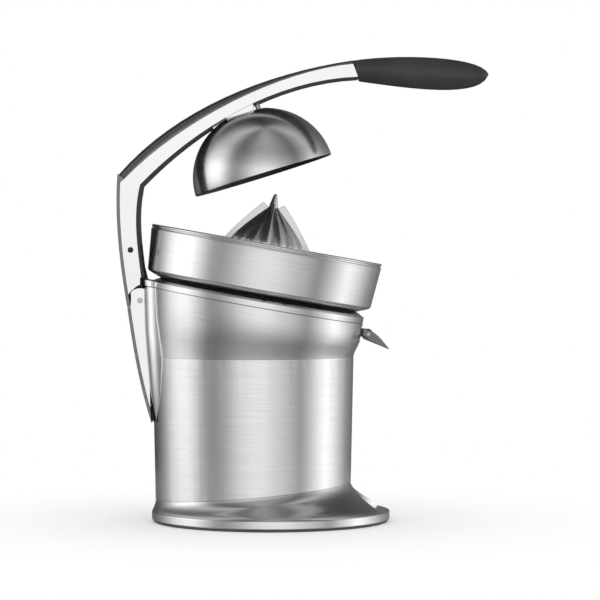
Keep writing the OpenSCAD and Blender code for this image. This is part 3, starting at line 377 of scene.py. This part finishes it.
class Value:
    """A socket that takes part in Python expressions."""

    def __init__(self, nodes, socket):
        self.nodes, self.socket = nodes, socket

    def __add__(self, other):
        return self.nodes.math("ADD", self, other)

    def __mul__(self, other):
        return self.nodes.math("MULTIPLY", self, other)

    def __truediv__(self, other):
        return self.nodes.math("DIVIDE", self, other)


class Nodes:
    """The node tree of one material or of the world."""

    def __init__(self, tree):
        self.tree = tree
        tree.nodes.clear()

    def node(self, kind, settings=None, values=None, out=0):
        made = self.tree.nodes.new(kind)
        for key, value in (settings or {}).items():
            setattr(made, key, value)
        for key, value in (values or {}).items():
            self.feed(made.inputs[key], value)
        return Value(self, made.outputs[out]) if made.outputs else made

    def feed(self, socket, value):
        if isinstance(value, Value):
            self.tree.links.new(value.socket, socket)
        else:
            socket.default_value = value

    def ramp(self, share, stops):
        """Grey level at a share, from stops of (share, level)."""
        made = self.node("ShaderNodeValToRGB", values={0: share})
        elements = made.socket.node.color_ramp.elements
        while len(elements) < len(stops):
            elements.new(0.5)
        for element, (place, level) in zip(elements, stops):
            element.position = place
            element.color = (level, level, level, 1)
        return made

    def math(self, operation, a, b=0.0):
        return self.node("ShaderNodeMath", {"operation": operation}, {0: a, 1: b})

    def blend(self, share, a, b, kind="MIX"):
        settings = {"data_type": "RGBA", "blend_type": kind}
        return self.node("ShaderNodeMix", settings, {0: share, 6: a, 7: b}, out=2)

    def at(self, origin=ORIGIN, lean=0.0):
        """Object coordinates measured from an origin along an axis that leans forward."""
        place = self.node("ShaderNodeTexCoord", out=3)
        moved = self.node("ShaderNodeVectorMath", {"operation": "SUBTRACT"}, {0: place, 1: origin})
        turned_back = {"Vector": moved, "Angle": -lean}
        return self.node("ShaderNodeVectorRotate", {"rotation_type": "Y_AXIS"}, turned_back)

    def split(self, vector):
        made = self.node("ShaderNodeSeparateXYZ", values={0: vector}).socket.node
        return [Value(self, socket) for socket in made.outputs]

    def join(self, x, y, z):
        return self.node("ShaderNodeCombineXYZ", values={0: x, 1: y, 2: z})

    def noise(self, vector, scale=1.0, detail=2.0, roughness=0.5):
        return self.node("ShaderNodeTexNoise", values={
            "Vector": vector, "Scale": scale, "Detail": detail, "Roughness": roughness})

    def spread(self, value, low, high, to_low=0.0, to_high=1.0):
        """Maps a range of values onto another."""
        return self.node("ShaderNodeMapRange", values={0: value, 1: low, 2: high, 3: to_low, 4: to_high})

    def bump(self, height, distance, strength):
        values = {"Height": height, "Distance": distance, "Strength": strength}
        return self.node("ShaderNodeBump", values=values)


def new_material(name):
    material = bpy.data.materials.new(name)
    material.use_nodes = True
    return material, Nodes(material.node_tree)


def shader(nodes, colour, roughness, metallic, normal, coat=0.0):
    """Surface of a material; the same five inputs carry every finish."""
    surface = nodes.node("ShaderNodeBsdfPrincipled", values={
        "Base Color": colour, "Roughness": roughness, "Metallic": metallic, "Normal": normal,
        "Coat Weight": coat})
    nodes.node("ShaderNodeOutputMaterial", values={"Surface": surface})


def tint(colour, factor):
    """The colour made lighter or darker, with its alpha."""
    return tuple(min(1.0, c * factor) for c in colour) + (1.0,)


def ring_brushed(name, colour, origin, lean, roughness=0.2):
    """Brushed steel whose grain runs round an axis: fine lines, hairlines and faint bands."""
    material, n = new_material(name)
    x, y, z = n.split(n.at(origin, lean))
    angle = n.math("ARCTAN2", y, x)
    radius = n.math("SQRT", x * x + y * y)
    across = z + radius * 0.7
    fine = n.noise(n.join(angle * 2.2, across * 2600.0, radius * 30.0), detail=3.0, roughness=0.62)
    hair = n.noise(n.join(angle * 9.0, across * 5200.0, radius * 60.0), roughness=0.55)
    band = n.noise(n.join(angle * 0.8, across * 260.0, 0.0))
    grain = fine * 0.55 + hair * 0.3 + band * 0.15
    base = n.blend(n.spread(grain, 0.34, 0.66), tint(colour, 0.915), tint(colour, 1.045))
    rough = n.spread(grain, 0.35, 0.65, roughness + 0.05, roughness - 0.05)
    shader(n, base, rough, 1.0, n.bump(grain, 0.03 * MM, 0.25))
    return material


def cross_brushed(name, colour, centre, roughness=0.32):
    """Brushed steel whose lines follow rays from a centre, so they run across the arm."""
    material, n = new_material(name)
    x, y, z = n.split(n.at(centre))
    angle = n.math("ARCTAN2", z, x)
    reach = n.math("SQRT", x * x + z * z)
    fine = n.noise(n.join(angle * 620.0, reach * 14.0, y * 20.0), detail=3.0, roughness=0.65)
    band = n.noise(n.join(angle * 90.0, reach * 3.0, y * 6.0))
    grain = fine * 0.7 + band * 0.3
    base = n.blend(n.spread(grain, 0.34, 0.68), tint(colour, 0.84), tint(colour, 1.1))
    rough = n.spread(grain, 0.35, 0.65, roughness + 0.07, roughness - 0.05)
    shader(n, base, rough, 1.0, n.bump(grain, 0.08 * MM, 0.4))
    return material


def polished(name, colour, roughness=0.1):
    """Polished casting: a faint slow waviness and hairline marks."""
    material, n = new_material(name)
    place = n.at()
    slow = n.noise(place, 22.0)
    marks = n.noise(place, 900.0, detail=3.0, roughness=0.7)
    base = n.blend(n.spread(slow, 0.3, 0.7), tint(colour, 0.975), tint(colour, 1.01))
    rough = n.spread(marks, 0.3, 0.7, roughness * 0.7, roughness * 1.4)
    shader(n, base, rough, 1.0, n.bump(slow, 0.04 * MM, 0.5))
    return material


def moulded(name, colour, roughness, grain=1400.0, depth=0.03, coat=0.0):
    """Moulded plastic or rubber: fine grain of a depth in millimetres and a slow colour drift."""
    material, n = new_material(name)
    place = n.at()
    fine = n.noise(place, grain, detail=3.0, roughness=0.6)
    slow = n.noise(place, 35.0, detail=3.0)
    base = n.blend(n.spread(slow, 0.3, 0.7), tint(colour, 0.86), tint(colour, 1.16))
    rough = n.spread(slow * 0.5 + fine * 0.5, 0.3, 0.7, roughness - 0.06, roughness + 0.08)
    shader(n, base, rough, 0.0, n.bump(fine, depth * MM, 0.6), coat)
    return material


def machined(name, colour, roughness=0.3, metallic=1.0):
    """Machined metal of the hidden works: fine tool marks and faint stains."""
    material, n = new_material(name)
    x, y, z = n.split(n.at(MACHINE_FOOT, LEAN))
    marks = n.noise(n.join(x * 60.0, y * 60.0, z * 3000.0), detail=3.0, roughness=0.6)
    stain = n.noise(n.at(), 60.0, detail=3.0)
    base = n.blend(n.spread(stain, 0.35, 0.7), tint(colour, 0.85), tint(colour, 1.08))
    rough = n.spread(marks, 0.3, 0.7, roughness - 0.06, roughness + 0.1)
    shader(n, base, rough, metallic, n.bump(marks, 0.03 * MM, 0.4))
    return material


FINISHES = {}


def make_finishes(sizes):
    steel = tuple(sizes.steel)
    # The arm's steel is the steel colour darkened to 0.29: painted shade standing in for the dark sky that
    # the arm's upward faces mirror.
    pale, shaded_steel = tint(steel, 1.1)[:3], tint(steel, 0.29)[:3]
    FINISHES.update({
        "column": ring_brushed("Brushed steel, column", steel, COLUMN_FOOT, 0.0),
        "head": ring_brushed("Brushed steel, head", steel, MACHINE_FOOT, LEAN),
        "bowl": ring_brushed("Brushed steel, bowl", pale, MACHINE_FOOT, LEAN),
        "dome": ring_brushed("Brushed steel, dome", steel, DOME_RIM, DOME_TILT),
        "base": ring_brushed("Brushed steel, base", steel, ORIGIN, 0.0, roughness=0.18),
        "arm": cross_brushed("Brushed steel with painted shade, arm", shaded_steel, ARM_CENTRE),
        "casting": polished("Polished casting", tuple(sizes.casting)),
        "cone": polished("Satin cone", (0.84, 0.85, 0.86), roughness=0.3),
        "grip": moulded("Soft grip", tuple(sizes.grip), 0.42, grain=1800.0, depth=0.02),
        # Black moulding; on the arm's leg and beam linings it is painted shade for the shaded inner face of
        # the arm's channel.
        "lining": moulded("Black lining and painted shade", (0.018, 0.018, 0.02), 0.34),
        "liner": moulded("Black dome liner", (0.012, 0.012, 0.013), 0.4),
        "foot": moulded("Foot rubber", (0.09, 0.09, 0.092), 0.6, grain=900.0),
        "brass": machined("Machined brass", (0.74, 0.56, 0.26)),
        "plain": machined("Machined steel", (0.6, 0.61, 0.62)),
        "black": machined("Blackened steel", (0.03, 0.03, 0.032), roughness=0.35, metallic=0.6),
        "nylon": moulded("Gear nylon", (0.72, 0.72, 0.69), 0.4),
        "basket": moulded("Basket moulding", (0.62, 0.64, 0.65), 0.22, depth=0.01, coat=0.3),
        "winding": moulded("Copper winding", (0.36, 0.14, 0.07), 0.35, grain=2600.0)})


class PressSizes(bpy.types.PropertyGroup):
    """Sizes and colours that change the looks of the press."""

    steel: bpy.props.FloatVectorProperty(
        name="Steel", description="Colour of the brushed steel", subtype="COLOR",
        default=(0.84, 0.845, 0.85))
    casting: bpy.props.FloatVectorProperty(
        name="Casting", description="Colour of the polished castings", subtype="COLOR",
        default=(0.93, 0.93, 0.935))
    grip: bpy.props.FloatVectorProperty(
        name="Grip", description="Colour of the soft grip", subtype="COLOR", default=(0.03, 0.032, 0.035))
    rim_roll: bpy.props.FloatProperty(
        name="Rim roll", description="Radius of the rolled rim of the bowl", unit="LENGTH",
        default=1.3 * MM)
    edge: bpy.props.FloatProperty(
        name="Edge", description="Rounding of the castings' edges", unit="LENGTH", default=0.9 * MM)


class StudioSizes(bpy.types.PropertyGroup):
    """Camera and light."""

    lens: bpy.props.FloatProperty(name="Lens", description="Focal length in millimetres", default=162.0)
    distance: bpy.props.FloatProperty(
        name="Distance", description="From the press to the camera", unit="LENGTH", default=2.565)
    floor: bpy.props.FloatProperty(
        name="Floor", description="Radius of the round floor", unit="LENGTH", default=0.55)
    sky: bpy.props.FloatProperty(
        name="Sky", description="How bright the metal sees what is above it", default=0.4)


class PRESS_OT_base(bpy.types.Operator):
    """Base with its skirt, foot and cover"""

    bl_idname = "press.base"
    bl_label = "Base"

    def execute(self, context):
        finish_piece(self.skirt(), "base", "base_skirt")
        refine("foot", 0.4, "foot_ring", "cord_gland")
        dress("lining", "base_cover")
        dress("black", "cover_screws")
        return {"FINISHED"}

    def skirt(self):
        """Rim band with rounded edges, a hollow flank that rises to the tilted seam, and the round bay."""
        tilt = math.radians(-5.01)
        rim_r, low_round, top_round = 112.9, 1.4, 2.8
        low_z, top_z = 3.2, 8.6
        well_r, well_z, pocket_r, pocket_z = 78, 5.6, 98.4, 1.8
        seam_r, seam_z, lip_r, lip_z = 92.7, 29.0, 92.0, 29.2
        rings = [(-COLUMN_BACK, well_z, well_r, 0), (0, well_z, pocket_r, 0), (0, pocket_z, pocket_r, 0),
                 (0, pocket_z, rim_r - 1.7, 0)]
        edge = arc(rim_r - low_round, low_z, low_round, -75, 0, 5)
        edge += arc(rim_r - top_round, top_z, top_round, 0, 46, 5)
        rings += [(0, z, r, 0) for r, z in edge]
        foot_r, foot_z = edge[-1]
        for out, up in bow((0, 0), 58, 0.34, (1, 1), 84, 0.55, 16)[1:]:
            rings.append((-COLUMN_BACK * out, foot_z + (seam_z - foot_z) * up,
                          foot_r + (seam_r - foot_r) * out, tilt * up))
        rings += [(-COLUMN_BACK, lip_z, lip_r, tilt), (-COLUMN_BACK, lip_z, well_r, tilt)]
        skirt = pull("base_skirt_finish", rings)
        bay_r, bay_z, bay_top = 62, 9.6, 60
        bay_at = Vector((144 * MM, 0, 0))
        bay = turned("bay", [(0, bay_z), (bay_r, bay_z), (bay_r, bay_top), (0, bay_top)], bay_at, 0.0, 160)
        carve(skirt, bay)
        soften(skirt, 0.7, 3, 34, 40)
        return skirt


class PRESS_OT_column(bpy.types.Operator):
    """Column, head, collar and rear spine"""

    bl_idname = "press.column"
    bl_label = "Column"

    def execute(self, context):
        refine("column", 0.25, "column_shell")
        refine("head", 0.25, "head_shell")
        refine("head", 0.5, "collar_ring")
        refine("column", 0.5, "rear_spine")
        return {"FINISHED"}


class PRESS_OT_hinge(bpy.types.Operator):
    """Hinge bracket, links and pins"""

    bl_idname = "press.hinge"
    bl_label = "Hinge"

    def execute(self, context):
        refine("casting", 0.6, "hinge_bracket", segments=3)
        refine("arm", 0.4, "bracket_cover")
        refine("black", 0.5, "rocker_link", "control_link")
        refine("plain", 0.3, "rocker_pin", "control_pin_lower", "control_pin_upper")
        refine("black", 0.3, "swing_pin")
        dress("black", "bracket_screws")
        return {"FINISHED"}


class PRESS_OT_bowl(bpy.types.Operator):
    """Juice bowl with its rolled rim, and the filter basket"""

    bl_idname = "press.bowl"
    bl_label = "Bowl"

    def execute(self, context):
        finish_piece(self.bowl(context.scene.press_sizes.rim_roll / MM), "bowl", "juice_bowl")
        refine("basket", 0.25, "filter_basket")
        return {"FINISHED"}

    def bowl(self, roll):
        """Spun bowl: a rounded foot, a flaring wall, a groove and the rolled rim above it."""
        hub_r, hub_u, foot_u, foot_r = 9, 7, -5.4, 94.4
        inner_hub_r, floor_u, floor_slope_u = 14.5, -2, -3.4
        rim_r, rim_u, wall_top, wall_top_u = 110.75, 43.35, 110.55, 37.4
        bead_r, bead_u = rim_r - roll, rim_u - roll
        outside = [(hub_r, hub_u), (hub_r, foot_u), (foot_r, foot_u), (103.6, -1.75)]
        outside += arc(104.0, 2.2, 3.45, -78, -8, 7) + [(108.9, 19), (wall_top, wall_top_u)]
        outside += arc(108.7, 38.2, 2.1, 0, 60, 6) + [(bead_r + 0.1, bead_u - roll)]
        bead = arc(bead_r, bead_u, roll, -62, 200, 16)
        inside = [(bead_r - roll + 0.2, bead_u - roll), (108.0, 30), (106, 4), (103.4, 0.6),
                  (foot_r, floor_u), (inner_hub_r, floor_slope_u), (inner_hub_r, hub_u), (hub_r, hub_u)]
        bowl = turned("juice_bowl_finish", outside + bead + inside, steps=160)
        drain_at = MACHINE_FOOT + machine(68.0, -3)
        for r, low, high, operation in ((8.6, -12, -4.4, "UNION"), (7, -20, 6, "DIFFERENCE")):
            tool = turned("drain", [(0, low), (r, low), (r, high), (0, high)], drain_at, LEAN, 32)
            carve(bowl, tool, operation)
        soften(bowl, 0.0, smooth=34)
        return bowl


class PRESS_OT_cone(bpy.types.Operator):
    """Reamer cone"""

    bl_idname = "press.cone"
    bl_label = "Cone"
    # Heights of the cone's foot and of the plain band above it, in millimetres along the leaning axis
    foot_u, band_u = 10.5, 13.1

    def execute(self, context):
        pieces = [self.core(), self.finger()]
        for quarter in range(4):
            pieces.append(self.fin(math.radians(90 * quarter)))
        cone = merge_into(*pieces)
        soften(cone, 0.0, smooth=42)
        finish_piece(cone, "cone", "reamer_cone")
        return {"FINISHED"}

    def lean_over(self, obj):
        """Stands a piece that was made upright on the leaning axis."""
        edit_all(obj)
        turn(LEAN, "Y", ORIGIN)
        shift(MACHINE_FOOT)
        close_edit()

    def core(self):
        """Body with sixteen sharp ridges and a hollow flute between each two."""
        sides, flutes = 176, 16
        rings = [(45.0, self.foot_u), (45.0, self.band_u), (43.4, 15.2)]
        rings += [(r, u) for r, u in reversed(bow((4.6, 78.4), -42, 12, (36.2, 43.4), -60, 14, 14))]
        obj = circle("reamer_cone_finish", sides, rings[0][0])
        shift((0, 0, rings[0][1] * MM))
        for (r0, u0), (r1, u1) in zip(rings, rings[1:]):
            extrude((0, 0, (u1 - u0) * MM))
            grow((r1 / r0, r1 / r0, 1), (0, 0, u1 * MM))
        per_flute = sides // flutes
        flutes_from, flute_depth = 13.5 * MM, 0.095
        for k in range(1, per_flute // 2 + 1):
            away = k / (per_flute / 2)
            sink = 1 - flute_depth * (1 - (1 - away) ** 2.2)

            def in_flute(at, _):
                place = round(math.atan2(at.y, at.x) / (CIRCLE / sides)) % per_flute
                return at.z > flutes_from and min(place, per_flute - place) == k

            pick(obj, in_flute, "VERT")
            grow((sink, sink, 1))
        cap_ends()
        self.lean_over(obj)
        return obj

    def finger(self):
        """Round finger on top, on which the fruit is set."""
        stem = [(0, 75), (4.9, 75), (4.4, 78.4), (3.9, 81.4)]
        return turned("finger", stem + arc(0, 89.4, 1.95, 12, 90, 7), steps=40)

    def fin(self, angle):
        """Tall fin whose outer edge is thinner than its root."""
        edge = bow((10, 82), -45, 13.7, (41, 43.4), -57, 13.7, 12)
        outline = [(0, 77.9), (4.3, 77.9), *(tuple(p) for p in edge), (44.9, self.band_u), (0, self.band_u)]
        obj = slab("fin", outline, width=3.4)
        near = [Vector((x * MM, 0, z * MM)) for x, z in edge]

        def on_edge(at, _):
            flat = Vector((at.x, 0, at.z))
            return min((flat - spot).length for spot in near) < 0.05 * MM

        pick(obj, on_edge, "VERT")
        grow((1, 0.5, 1))
        close_edit()
        soften(obj, 0.45, 2, 40, 40)
        edit_all(obj)
        turn(angle, "Z", ORIGIN)
        self.lean_over(obj)
        return obj


class PRESS_OT_arm(bpy.types.Operator):
    """Arm casting, covers, and linings whose black is painted shade"""

    bl_idname = "press.arm"
    bl_label = "Arm"

    def execute(self, context):
        edge = context.scene.press_sizes.edge / MM
        refine("casting", context.scene.press_sizes.edge / MM, "arm_casting", segments=3)
        refine("arm", 0.0, "beam_cover", smooth=50)
        refine("arm", 0.5, "leg_cover")
        # The leg and beam linings are black: painted shade standing in for the shaded inner face of the
        # arm's channel.
        refine("lining", 1.0, "leg_lining", "beam_lining", segments=3)
        dress("plain", "grip_tang")
        return {"FINISHED"}


class PRESS_OT_grip(bpy.types.Operator):
    """Soft grip"""

    bl_idname = "press.grip"
    bl_label = "Grip"

    def execute(self, context):
        refine("grip", 0.0, "grip")
        return {"FINISHED"}


class PRESS_OT_dome(bpy.types.Operator):
    """Pressing dome and what carries it"""

    bl_idname = "press.dome"
    bl_label = "Dome"

    def execute(self, context):
        crown = [(18.4, 61.2), (17.6, 61.3), (0, 61.3)]
        brim = [(66.3, 0.55), (66.9, 0.5), (67.3, 0.75)]
        shell = self.cup("press_dome_finish", (1.6, 1.0, 59.8), brim, (0, 1.2, 61.0), crown, 160)
        finish_piece(shell, "dome", "press_dome")
        lip = [(64.2, 0.2), (64.8, 0.0), (66.8, 0.0), (67.1, 0.15), (67.1, 0.4), (65.8, 0.5)]
        liner = self.cup("dome_liner_finish", (3.6, 1.0, 57.8), lip, (1.7, 1.0, 59.7), [(0, 59.7)], 144)
        finish_piece(liner, "liner", "dome_liner")
        refine("casting", 0.6, "dome_bracket", segments=3)
        refine("plain", 0.3, "dome_post", "dome_screws")
        return {"FINISHED"}

    def cup(self, name, inner, brim, outer, crown, steps):
        """Cup from its inner crown down to the brim and up its outer face; a face is (inset, low, high)."""
        inside = [(0, inner[2])] + self.shell_line(*inner)[::-1]
        obj = turned(name, inside + brim + self.shell_line(*outer) + crown, DOME_RIM, DOME_TILT, steps)
        soften(obj, 0.0, smooth=40)
        return obj

    def shell_line(self, inset, low, high):
        """Points up the dome at a depth below its outer face, between two heights."""
        steps = 28
        tall, wide = 64.0 - inset, 67.4 - inset
        first, last = math.asin(low / tall), math.asin(high / tall)
        turns = [first + (last - first) * i / steps for i in range(steps + 1)]
        return [(wide * math.cos(a), tall * math.sin(a)) for a in turns]


class PRESS_OT_spout(bpy.types.Operator):
    """Spout and the duct behind it"""

    bl_idname = "press.spout"
    bl_label = "Spout"

    def execute(self, context):
        finish_piece(self.chute(), "column", "drip_spout")
        refine("lining", 0.4, "spout_duct")
        dress("plain", "spout_pin")
        return {"FINISHED"}

    def chute(self):
        """Open trough with a rounded bottom and cheeks that lean out, its lip cut to a curve."""
        heel, root, tip = (87.4, 172.9), (87.9, 182.1), (111.8, 162.9)
        width, bottom_share, wall_t, bottom_round, near = 32, 0.74, 1.2 * MM, 3 * MM, 0.05 * MM
        lip = [tuple(p) for p in bow(root, -12, 12, tip, -54, 12, 10)]
        obj = slab("drip_spout_finish", [heel] + lip, width)
        fall = (heel[1] - tip[1]) / (tip[0] - heel[0])

        def low(at, _=None):
            return abs(at.z - (heel[1] * MM - (at.x - heel[0] * MM) * fall)) < near

        pick(obj, low, "VERT")
        grow((1, bottom_share, 1))
        pick(obj, lambda at, normal: normal.z > 0.25 or normal.x < -0.8)
        bpy.ops.mesh.delete(type="FACE")
        pick(obj, lambda a, b: low(a) and low(b) and abs(a.y - b.y) < MM, "EDGE")
        bpy.ops.mesh.bevel(offset=bottom_round, segments=5)
        close_edit()
        wall = obj.modifiers.new("wall", "SOLIDIFY")
        wall.thickness = wall_t
        wall.offset = -1.0
        apply_all(obj)
        soften(obj, 0.25, 2, 40, 40)
        return obj


class PRESS_OT_works(bpy.types.Operator):
    """Motor, gears and what carries them"""

    bl_idname = "press.works"
    bl_label = "Works"

    def execute(self, context):
        dress("brass", "spindle_bushes", "idler_gear", "motor_pinion", "motor_bushes")
        dress("plain", "deck_posts", "gear_plate_upper", "gear_plate_lower", "plate_posts", "idler_pin",
              "motor_case", "cone_spindle", "motor_rotor")
        dress("lining", "head_deck", "shaft_seal", "start_switch")
        dress("winding", "motor_stator")
        dress("nylon", "output_gear")
        return {"FINISHED"}


class PRESS_OT_studio(bpy.types.Operator):
    """Floor, light and camera"""

    bl_idname = "press.studio"
    bl_label = "Studio"
    # How far the camera looks down, in degrees
    look_down = 1.15
    # Light that metal sees round it: degrees from straight behind the camera, and level
    light_round = (
        (-180, 0.08), (-150, 0.07), (-132, 0.2), (-118, 0.5), (-105, 0.95), (-90, 1.2), (-78, 1.18),
        (-54, 0.33), (-42, 0.3), (-28, 0.5), (-14, 0.8), (0, 0.92), (14, 0.9), (28, 0.7), (43, 0.54),
        (58, 0.28), (75, 0.72), (94, 1.25), (108, 0.9), (120, 0.6), (136, 0.28), (156, 0.16), (180, 0.12))
    # The same from straight below, 0, to straight above, 1; the sky's own level follows
    light_up = ((0.0, 0.3), (0.2, 0.2), (0.3, 0.38), (0.38, 0.82), (0.44, 1.05), (0.58, 1.1), (0.68, 0.7))
    sky_from = 0.82
    # How much lower the bright band lies on the spout's side
    band_tilt = 0.05

    def execute(self, context):
        sizes = context.scene.press_studio
        only_nothing()
        bpy.ops.mesh.primitive_circle_add(
            vertices=96, radius=sizes.floor, fill_type="NGON", location=(0, 0, -0.2 * MM))
        floor = bpy.context.object
        floor.name = "floor"
        floor.data.materials.append(self.white_floor())
        self.light_room(context, sizes)
        camera = bpy.data.objects.new("camera", bpy.data.cameras.new("camera"))
        context.scene.collection.objects.link(camera)
        camera.location = (27.8 * MM, -sizes.distance, 260.9 * MM)
        camera.rotation_euler = (math.radians(90 - self.look_down), 0, 0)
        camera.data.lens = sizes.lens
        camera.data.sensor_width = 36.0
        camera.data.clip_end = 50.0
        context.scene.camera = camera
        context.scene.view_settings.view_transform = "Standard"
        return {"FINISHED"}

    def white_floor(self):
        """Plain pale floor that keeps the shadow and that metal sees faintly."""
        material, n = new_material("White floor")
        path = n.node("ShaderNodeLightPath").socket.node
        camera_ray = Value(n, path.outputs["Is Camera Ray"])
        glossy_ray = Value(n, path.outputs["Is Glossy Ray"])
        lit = n.node("ShaderNodeBsdfDiffuse", values={"Color": (0.97, 0.97, 0.97, 1)})
        glow = n.node("ShaderNodeEmission", values={"Strength": camera_ray * 0.07})
        both = n.node("ShaderNodeAddShader", values={0: lit, 1: glow})
        gone = n.node("ShaderNodeBsdfTransparent")
        seen = n.node("ShaderNodeMixShader", values={0: glossy_ray * 0.9, 1: both, 2: gone})
        n.node("ShaderNodeOutputMaterial", values={"Surface": seen})
        return material

    def light_room(self, context, sizes):
        """White room: metal sees three bright panels round it and a dimmer sky."""
        world = context.scene.world or bpy.data.worlds.new("studio")
        context.scene.world = world
        world.use_nodes = True
        n = Nodes(world.node_tree)
        x, y, z = n.split(n.node("ShaderNodeTexCoord", out=0))
        bearing = n.math("ARCTAN2", x, y * -1.0) / CIRCLE + 0.5
        around = n.ramp(bearing, [(degrees / 360 + 0.5, level) for degrees, level in self.light_round])
        sky = ((self.sky_from, sizes.sky), (1.0, sizes.sky))
        height = n.ramp(z * 0.5 + x * self.band_tilt + 0.5, self.light_up + sky)
        seen = n.blend(1.0, around, height, "MULTIPLY")
        path = n.node("ShaderNodeLightPath").socket.node
        colour = n.blend(Value(n, path.outputs["Is Glossy Ray"]), (1.0, 1.0, 1.0, 1), seen)
        background = n.node("ShaderNodeBackground", values={"Color": colour, "Strength": 1.0})
        n.node("ShaderNodeOutputWorld", values={"Surface": background})


class PRESS_PT_panel(bpy.types.Panel):
    """Lists the pieces of the press"""

    bl_idname = "PRESS_PT_panel"
    bl_label = "Lever citrus press"
    bl_space_type = "VIEW_3D"
    bl_region_type = "UI"
    bl_category = "Press"

    def draw(self, context):
        for name in ("steel", "casting", "grip", "rim_roll", "edge"):
            self.layout.prop(context.scene.press_sizes, name)
        for name in ("lens", "distance", "floor", "sky"):
            self.layout.prop(context.scene.press_studio, name)
        for operator in OPERATORS:
            self.layout.operator(operator.bl_idname)


OPERATORS = (
    PRESS_OT_base, PRESS_OT_column, PRESS_OT_hinge, PRESS_OT_bowl, PRESS_OT_cone, PRESS_OT_arm,
    PRESS_OT_grip, PRESS_OT_dome, PRESS_OT_spout, PRESS_OT_works, PRESS_OT_studio)
CLASSES = (PressSizes, StudioSizes, *OPERATORS, PRESS_PT_panel)


def register():
    for item in CLASSES:
        bpy.utils.register_class(item)
    bpy.types.Scene.press_sizes = bpy.props.PointerProperty(type=PressSizes)
    bpy.types.Scene.press_studio = bpy.props.PointerProperty(type=StudioSizes)


def unregister():
    del bpy.types.Scene.press_studio
    del bpy.types.Scene.press_sizes
    for item in reversed(CLASSES):
        bpy.utils.unregister_class(item)


def main():
    register()
    make_finishes(bpy.context.scene.press_sizes)
    for operator in OPERATORS:
        group, name = operator.bl_idname.split(".")
        getattr(getattr(bpy.ops, group), name)()


if __name__ == "__main__":
    main()
